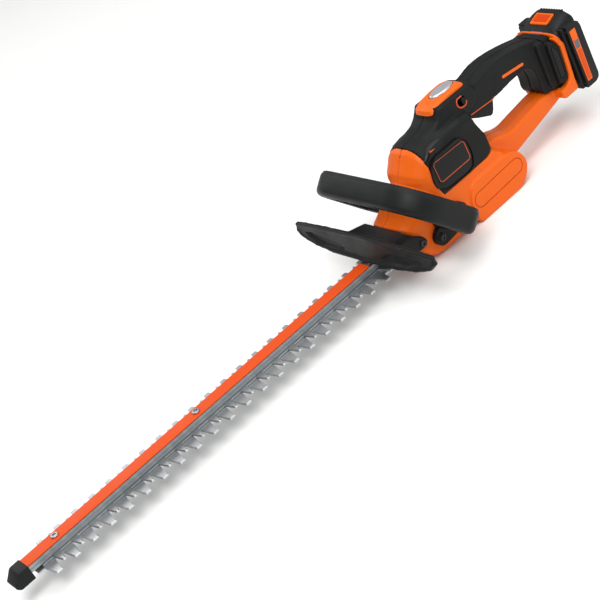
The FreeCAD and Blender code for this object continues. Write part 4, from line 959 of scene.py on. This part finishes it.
# ------------------------------------------------------------------ guard and handles
@dataclass
class HandGuard:
    """The wide upright guard: bowed wings with a hollow in each, and a collar that flares into them."""

    lean: float = 6.0
    bow: float = 3.0
    thick: float = 5.0
    half: float = 119.0
    voxel: float = 1.0
    lower: Profile = drawn(
        (0, 13.5), (56, 14.5), (89, 17.8), (110, 23), (118, 29.5))
    upper: Profile = drawn(
        (117.5, 36.5), (98, 39), (70, 41), (36, 43), (0, 44))
    hollow: Profile = drawn(
        (27, 21.5), (48, 18.6), (72, 19.4), (94, 25.5), (102, 31.5), (88, 32.6), (66, 32), (44, 29.5))

    ear: Outline = drawn(
        (-34, 4, 3), (-34, 24, 3), (-44, 21, 4), (-57, 12, 5), (-58, 3, 5), (-50, 0.5, 4))
    # stations of the collar: x, half width, lower edge, upper edge and how much its shoulder is rounded
    flare: tuple[tuple[float, float, float, float, float], ...] = (
        (-52, 36.6, 6, 14, 3), (-45, 37.6, 5, 22, 6), (-37, 38.4, 6, 31, 8), (-28, 39.6, 8, 33.5, 9),
        (-18, 42, 10, 35, 9), (-10, 47, 12, 37, 8), (-5, 56, 13.5, 39, 6))

    def place(self, y: float, z: float, x: float) -> tuple[float, float, float]:
        """Set a point of the flat drawing on the bowed, leaning plate.

        Args:
            y: Its distance from the centre plane.
            z: Its height.
            x: Its distance in front of the plate's face.

        Returns:
            The point in space.
        """
        back = self.bow * (y / self.half) ** 2 + (z - self.lower[0][1]) * math.tan(math.radians(self.lean))
        return x - back, y, z

    def wings(self) -> Shape:
        """Cut the bowed plate with its thick lower rim and thin upper rim, and hollow each wing."""
        right = [(-y, z) for y, z in reversed(self.lower[1:])]
        rise = [(-y, z) for y, z in self.upper[:-1]]
        points = right + self.lower + self.upper + list(reversed(rise))
        plate = loft([[self.place(y, z, x) for y, z in points] for x in (-self.thick, 0.0)])
        rims = []
        for run, deep, proud in ((right + self.lower, 3.4, 1.3), (rise + self.upper, 1.6, 0.5)):
            section = ((-deep * 0.2, -self.thick - proud), (deep, -self.thick - proud * 0.4),
                       (deep, proud * 0.2), (deep * 0.5, proud), (-deep * 0.2, proud * 0.8))
            rims.append(loft([[self.place(y, z + up, x) for up, x in section] for y, z in sorted(run)]))
        tools = []
        for way in (1, -1):
            tools.append(loft([[self.place(way * (64 + (y - 64) * 0.94), 26 + (z - 26) * 0.86, -3.2)
                                for y, z in self.hollow],
                               [self.place(way * y, z, 0.8) for y, z in self.hollow]]))
        return carved(melted(gather(plate, *rims), self.voxel, 2), gather(*tools))

    def collar(self) -> Shape:
        """Flare the collar from the nose of the housing into the wings."""
        sections = []
        for x, half, low, top, soft in self.flare:
            near = soft * 0.35
            sections.append([(x, half, low), (x, half, top - soft), (x, half - near, top - near),
                             (x, half - soft, top), (x, soft - half, top), (x, near - half, top - near),
                             (x, -half, top - soft), (x, -half, low)])
        return loft(sections)

    def build(self) -> None:
        """Melt wings, collar and ears together, and cut the way in for housing and blades."""
        ears = paired(fresh(self.ear, 33.4, 38.4, 1.6, 4))
        made = melted(gather(self.wings(), self.collar(), ears), self.voxel, 4)
        way_in = gather(block((-62, -12.0, -8), (6, 12.0, 13.2), 0),
                        block((-62, -33.2, -8), (-36.8, 33.2, 45.0), 0))
        made = carved(made, way_in)
        piece("hand_guard", made, NYLON, "tool", ("guard",), 40.0)
        heads = [screw_head((-51, way * 38.2, 7.0), 3.6, 2.0, "Y", way) for way in (1, -1)]
        piece("guard_screw_heads", gather(*heads), BLACK_OXIDE, "tool", ("guard_screws",))


@dataclass
class BailHandle:
    """The front handle: a wide band bent into a loop, with a lug plate at each foot."""

    base: tuple[float, float] = (-93.3, 11.0)
    tilt: float = 49.5
    reach: float = 102.0
    half: float = 93.5
    rear_bend: float = 17.0
    front_bend: float = 46.0
    thick: float = 15.0
    wide: float = 28.0
    seat: float = 33.2
    lug: Outline = drawn(
        (-119, 4, 5), (-118, 14, 5), (-108, 17.5, 5), (-96, 18, 4), (-80, 12, 5), (-66.5, 3, 5),
        (-66.5, -8, 5), (-74, -12.5, 5), (-92, -11, 6), (-113, -8, 6))
    screws: tuple[tuple[float, float], ...] = ((-110.0, -2.0), (-74.0, -2.0))

    def section(self, made: Shape) -> list[bmesh.types.BMEdge]:
        """Draw the band's section at the housing's side, with a thin proud rim at its upper edge.

        Args:
            made: The mesh that takes it.

        Returns:
            The section's edges.
        """
        across, through = self.wide / 2, self.thick
        ring = [(0.0, 7 - across), (0.9, 3.6 - across), (3.0, 1.2 - across), (6.5, -across), (11.5, -across),
                (through - 1, 1.0 - across), (through, 3.4 - across), (through, across - 3.4),
                (through - 1, across - 1.0), (11.5, across), (4.2, across), (2.2, across - 0.8),
                (1.6, across - 2.6), (0.6, across - 4.0), (0.0, across - 7)]
        verts = [made.verts.new((s, self.seat, n)) for s, n in ring]
        return [made.edges.new((verts[i - 1], verts[i])) for i in range(len(verts))]

    def stretch(self, made: Shape, run: list, move: tuple) -> list:
        """Extrude the open end in a straight line.

        Args:
            made: The band's mesh.
            run: The edges of its open end.
            move: How far and which way.

        Returns:
            The edges of the new end.
        """
        out = bmesh.ops.extrude_edge_only(made, edges=run)
        verts = [item for item in out["geom"] if isinstance(item, bmesh.types.BMVert)]
        bmesh.ops.translate(made, verts=verts, vec=move)
        return [item for item in out["geom"] if isinstance(item, bmesh.types.BMEdge) and
                all(v in verts for v in item.verts)]

    def bend(self, made: Shape, run: list, centre: tuple) -> list:
        """Spin the open end through a quarter turn.

        Args:
            made: The band's mesh.
            run: The edges of its open end.
            centre: The centre of the bend.

        Returns:
            The edges of the new end.
        """
        out = bmesh.ops.spin(made, geom=run, cent=centre, axis=(0, 0, 1), dvec=(0, 0, 0),
                             angle=-math.pi / 2, steps=16, use_merge=False, use_duplicate=False)
        return [item for item in out["geom_last"] if isinstance(item, bmesh.types.BMEdge)]

    def band(self) -> Shape:
        """Sweep the section out, round both corners and across to the centre, then mirror it."""
        made = bmesh.new()
        end = self.section(made)
        end = self.stretch(made, end, (0, self.half - self.rear_bend - self.seat, 0))
        end = self.bend(made, end, (self.rear_bend, self.half - self.rear_bend, 0))
        end = self.stretch(made, end, (self.reach - self.rear_bend - self.front_bend, 0, 0))
        end = self.bend(made, end, (self.reach - self.front_bend, self.half - self.front_bend, 0))
        self.stretch(made, end, (0, self.front_bend - self.half, 0))
        bmesh.ops.recalc_face_normals(made, faces=made.faces[:])
        whole = paired(made)
        bmesh.ops.remove_doubles(whole, verts=whole.verts[:], dist=WELD)
        bmesh.ops.holes_fill(whole, edges=whole.edges[:], sides=0)
        bmesh.ops.recalc_face_normals(whole, faces=whole.faces[:])
        swung(whole, -self.tilt, "Y", (0, 0, 0))
        bmesh.ops.translate(whole, verts=whole.verts[:], vec=(self.base[0], 0, self.base[1]))
        return whole

    def build(self) -> None:
        """Make the band, its lug plates and their screws."""
        lugs = fresh(self.lug, self.seat, 40.0, 1.8, 5)
        bosses = [turned((x, 39.5, z), 5.4, 4.0, "Y", 1.0, 32) for x, z in self.screws]
        feet = paired(gather(lugs, *bosses))
        handle = gather(self.band(), feet)
        piece("bail_handle_band", handle, NYLON, "tool", ("bail_handle",), 35.0)
        heads = [screw_head((x, way * 41.4, z), 3.4, 1.8, "Y", way)
                 for x, z in self.screws for way in (1, -1)]
        piece("bail_screw_heads", gather(*heads), BLACK_OXIDE, "tool", ("bail_screws",))


@dataclass
class Controls:
    """The trigger with its trim line, and the lock-off slider in its outlined recess."""

    trigger_side: Outline = drawn(
        (-190, 82, 2), (-190, 66, 2), (-197, 61.5, 5), (-217, 51.6, 2.5), (-221, 55, 3), (-226, 66, 2),
        (-224, 79, 2), (-201, 83, 2))
    trigger_half: float = 7.6
    teeth: int = 7
    hook: Outline = drawn(
        (-180, 104.4, 0.6), (-172, 104.4, 2), (-169.4, 99, 3), (-171, 93.2, 3), (-176, 90.8, 3),
        (-182.4, 91.4, 2), (-184.6, 95.5, 0.5), (-183.2, 95.9, 0.5), (-181.6, 92.8, 1.5),
        (-176.3, 92.2, 2.4), (-172.2, 94.4, 2.4), (-170.9, 99, 2.4), (-172.9, 103, 1.4),
        (-180, 103, 0.4))

    def build(self) -> None:
        """Make trigger, trim and slider."""
        lever = closed_pair(fresh(self.trigger_side, 0.0, self.trigger_half, 2.0, 4))
        teeth = []
        for i in range(self.teeth):
            x = -199.5 - i * 2.7
            z = 60.9 - i * 1.33
            tooth = block((x - 0.8, -6.4, z - 1.2), (x + 0.8, 6.4, z + 1.4), 0.7, 2)
            teeth.append(swung(tooth, 26, "Y", (x, 0, z)))
        piece("trigger_lever", gather(lever, *teeth), NYLON, "trigger", ("trigger",))
        trim = fresh([(-184.6, 75.8, 0.5), (-218.4, 73.0, 1), (-228.6, 78.6, 0.5), (-229.4, 77.4, 0.5),
                      (-218.8, 71.6, 1), (-184.6, 74.4, 0.5)], 15, 17.4, 0.2, 2)
        both_sides("trigger_trim", trim, LINE_INK)
        self.slider()

    def slider(self) -> None:
        """Make the slider's thumb pads and the coloured line round their recess."""
        back, front, low, high = -182.6, -177.2, 94.2, 101.2
        pad = fresh([(back, low, 2), (front, low, 2), (front, high, 2), (back, high, 2)], 18, 23.6, 1, 3)
        grips = ribs(Vector((0, 0, 1)), Vector((-179.9, 23.5, 96.0)), 1.7, 3, Vector((3.6, 1.0, 0.8)), 0.3)
        pads = paired(gather(pad, grips))
        piece("lock_off_pads", pads, NYLON, "lock_off", ("lock_slider",))
        both_sides("lock_off_outline", fresh(self.hook, 17, 22.7, 0.2, 3), LINE_INK)


# ------------------------------------------------------------------ battery
@dataclass
class Battery:
    """The slide-on pack: rear case, front plate, latch block with ridges, release key and labels."""

    slab_half: float = 37.5
    block_half: float = 29.4
    band_half: float = 30.6
    cap_half: float = 23.3
    slab: Outline = drawn(
        (-329, 15, 1), (-345, 15, 4), (-350, 20, 4), (-350, 87, 4), (-345, 93, 4), (-329, 93, 1))
    block_middle: Profile = drawn(
        (-317.6, 86), (-318, 89), (-325.5, 96.2), (-341, 101.6), (-350, 101.8), (-352.6, 98),
        (-352.6, 93.2), (-329, 91), (-328.6, 79), (-324, 79))
    block_flank: Profile = drawn(
        (-321.5, 79.5), (-322.5, 80.5), (-328.5, 83.5), (-341, 86), (-348, 87), (-350, 86), (-350, 85),
        (-329, 84), (-328.6, 79), (-324, 79))
    cap_middle: Profile = drawn(
        (-304.2, 84), (-304.2, 93.4), (-311, 92.8), (-316, 91.2), (-318, 88.5), (-318, 84))
    cap_flank: Profile = drawn(
        (-304.2, 82), (-304.2, 89.6), (-311, 88.4), (-315, 86.6), (-317, 84), (-317, 82))

    def latch_block(self) -> Shape:
        """Make the sloping block over the receiver, with the well of its button."""
        whole = closed_pair(domed(self.block_middle, self.block_flank, self.block_half, 0.66, 8, 0.0))
        well = block((-342, -14.0, 95.0), (-325.6, 14.0, 106), 1.0, 2)
        return carved(whole, well)

    def trim_band(self) -> Shape:
        """Make the coloured band that runs over the receiver, in front of the block."""
        middle = [(-315.6, 84), (-315.8, 92.4), (-318.4, 92.2), (-320.0, 89.6), (-319, 84)]
        flank = [(-318.6, 76), (-318.8, 82.6), (-321.0, 82.2), (-322.4, 80.8), (-322, 76)]
        return closed_pair(domed(middle, flank, self.band_half, 0.5, 8, 0.0))

    def ridges(self) -> Shape:
        """Set the grip ribs over the block's rear upper edge."""
        return ribs(Vector((0, 1, 0)), Vector((-350.0, -16, 99.8)), 4.0, 9, Vector((4.2, 1.9, 3.6)), 0.8)

    def build(self) -> None:
        """Make every visible piece of the pack."""
        case = closed_pair(fresh(self.slab, 0.0, self.slab_half, 5.0, 5))
        piece("battery_rear_case", case, NYLON, "battery", ("battery_base",))
        plate = block((-329.4, -34, 15.6), (-324.6, 34, 92), 1.4, 3)
        piece("battery_front_plate", plate, NYLON, "battery")
        tower = block((-327.6, -22.8, 25), (-304.8, 22.8, 86.0), 1.5, 3)
        cap = closed_pair(domed(self.cap_middle, self.cap_flank, self.cap_half, 0.6, 8, 0.0))
        latch = gather(self.latch_block(), self.ridges(), tower)
        piece("battery_latch_block", latch, NYLON, "battery", ("battery_tower",), 30.0)
        piece("battery_tower_cap", cap, SOFT_GRIP, "battery")
        piece("battery_trim_band", self.trim_band(), ORANGE_ABS, "battery")
        self.release()
        self.labels()

    def release(self) -> None:
        """Make the release key: a bright frame round a darker ribbed field."""
        key = fresh([(-341, 96.4, 0), (-326.2, 96.4, 0), (-326.2, 98.2, 0.8), (-341, 102.4, 0.8)],
                    -13.0, 13.0, 0.6, 3)
        top = max(key.faces, key=lambda item: item.normal.z * item.calc_area())
        bmesh.ops.inset_region(key, faces=[top], thickness=2.2, depth=0.0)
        bmesh.ops.inset_region(key, faces=[top], thickness=0.3, depth=-0.9)
        piece("release_key", key, ORANGE_ABS, "release", ("release_button",))
        grips = []
        for i in range(8):
            y = -9.1 + 2.6 * i
            rib = block((-338.6, y - 0.7, 98.9), (-328.6, y + 0.7, 100.7), 0.5, 2)
            grips.append(swung(rib, 15.0, "Y", (-333.6, 0, 100.2)))
        piece("release_key_ribs", gather(*grips), STRIP_ABS, "release")

    def labels(self) -> None:
        """Stick the side labels on: a bright strip with a grey window and a long darker field."""
        front, back = -331.8, -340.8
        flat = [("battery_side_labels", ORANGE_ABS, ("pack_labels",), (37.0, 37.8, 0.2, 3),
                 [(front, 22, 1), (back + 1.5, 22, 1), (back, 86, 1), (front, 86, 1)]),
                ("battery_side_windows", LABEL, (), (37.2, 38.1, 0.2, 2),
                 [(front - 1, 63, 0.6), (back + 1.6, 63, 0.6), (back + 1.4, 73, 0.6), (front - 1, 73, 0.6)]),
                ("battery_side_fields", STRIP_ABS, (), (37.2, 38.0, 0.1, 2),
                 [(front - 1.2, 24, 0.8), (back + 2.6, 24, 0.8), (back + 1.8, 61, 0.8),
                  (front - 1.2, 61, 0.8)])]
        for name, finish, nodes, cut, outline in flat:
            piece(name, paired(fresh(outline, *cut)), finish, "battery", nodes)


# ------------------------------------------------------------------ inner works and studio
INNER_FINISHES: dict[str, Finish] = {
    "bar_nuts": ZINC, "guide_bushes": BRONZE, "blade_root_screws": ZINC, "blade_clamp_plate": ROLLED_STEEL,
    "crank_gear": ROLLED_STEEL, "pinion": ROLLED_STEEL, "gear_shaft": ZINC, "gear_clip": ZINC,
    "gear_case": CAST_ALLOY, "motor_can": ROLLED_STEEL, "motor_magnets": FERRITE,
    "motor_end_bell": NYLON, "motor_bearings": ZINC,
    "rotor": WINDING, "motor_fan": NYLON, "housing_screws": BLACK_OXIDE, "key_switch": IVORY,
    "control_board": BOARD, "trigger_pin": ZINC, "main_switch": IVORY, "battery_cells": SLEEVE,
    "pack_screws": BLACK_OXIDE,
    "terminal_block": IVORY,
}


def dress_inner_works() -> None:
    """Give every CAD node that stays its own finish."""
    for name, finish in INNER_FINISHES.items():
        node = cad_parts[name]
        node.data.materials.clear()
        node.data.materials.append(finish.material())
        LOG.info("%s: %s", name, finish.name)


@dataclass
class Studio:
    """A pale floor, soft lights and the camera."""

    eye: tuple[float, float, float] = (0.61145, 1.28857, 0.84275)
    right: tuple[float, float, float] = (-0.70213, 0.57765, -0.41632)
    upward: tuple[float, float, float] = (-0.61073, -0.18795, 0.76921)
    lens: float = 94.83
    sensor: float = 36.0
    floor_half: float = 8.0
    daylight: float = 0.42
    aim: tuple[float, float, float] = (-0.05, 0.0, 0.05)
    lamps: tuple[tuple[str, tuple, float, float], ...] = (
        ("key_light", (0.9, 1.1, 2.0), 1.2, 33.0), ("top_light", (-0.6, 0.2, 2.2), 1.8, 30.0),
        ("fill_light", (-1.4, 1.8, 0.9), 1.6, 10.0), ("back_light", (0.2, -1.8, 1.4), 1.4, 10.0))

    def camera(self) -> None:
        """Set the camera where the machine fills the view on its diagonal."""
        data = bpy.data.cameras.new("camera")
        data.lens = self.lens
        data.sensor_width = self.sensor
        data.clip_end = 20.0
        thing = bpy.data.objects.new("camera", data)
        right, upward = Vector(self.right).normalized(), Vector(self.upward).normalized()
        turn = Matrix((right, upward, right.cross(upward))).transposed().to_4x4()
        thing.matrix_world = Matrix.Translation(self.eye) @ turn
        bpy.context.scene.collection.objects.link(thing)
        bpy.context.scene.camera = thing

    def lamp(self, name: str, place: tuple, size: float, power: float) -> None:
        """Hang one soft square light that faces the machine.

        Args:
            name: The light's name.
            place: Where it hangs, in metres.
            size: The length of its side.
            power: Its power in watts.
        """
        data = bpy.data.lights.new(name, "AREA")
        data.shape = "SQUARE"
        data.size = size
        data.energy = power
        thing = bpy.data.objects.new(name, data)
        away = Vector(place) - Vector(self.aim)
        thing.matrix_world = Matrix.Translation(place) @ away.to_track_quat("Z", "Y").to_matrix().to_4x4()
        bpy.context.scene.collection.objects.link(thing)

    def build(self) -> None:
        """Lay the floor, light it and set the camera."""
        self.camera()
        made = bmesh.new()
        bmesh.ops.create_grid(made, x_segments=1, y_segments=1, size=self.floor_half)
        mesh = bpy.data.meshes.new("floor")
        made.to_mesh(mesh)
        made.free()
        mesh.materials.append(PAPER.material())
        floor = bpy.data.objects.new("floor", mesh)
        bpy.context.scene.collection.objects.link(floor)
        for name, place, size, power in self.lamps:
            self.lamp(name, place, size, power)
        world = bpy.data.worlds.new("studio")
        world.use_nodes = True
        sky = world.node_tree.nodes["Background"]
        sky.inputs["Color"].default_value = (1, 1, 1, 1)
        sky.inputs["Strength"].default_value = self.daylight
        bpy.context.scene.world = world
        bpy.context.scene.view_settings.view_transform = "Standard"


def main() -> None:
    """Build the machine, assembly by assembly, and the studio round it."""
    logging.basicConfig(level=logging.INFO, format="%(name)s %(message)s")
    dress_inner_works()
    Studio().build()
    for assembly in (BladeSet(), LowerHousing(), UpperHousing(), SideCover(), TopHood(), HandGuard(),
                     BailHandle(), Controls(), Battery()):
        LOG.info("building %s", type(assembly).__name__)
        assembly.build()


if __name__ == "__main__":
    main()
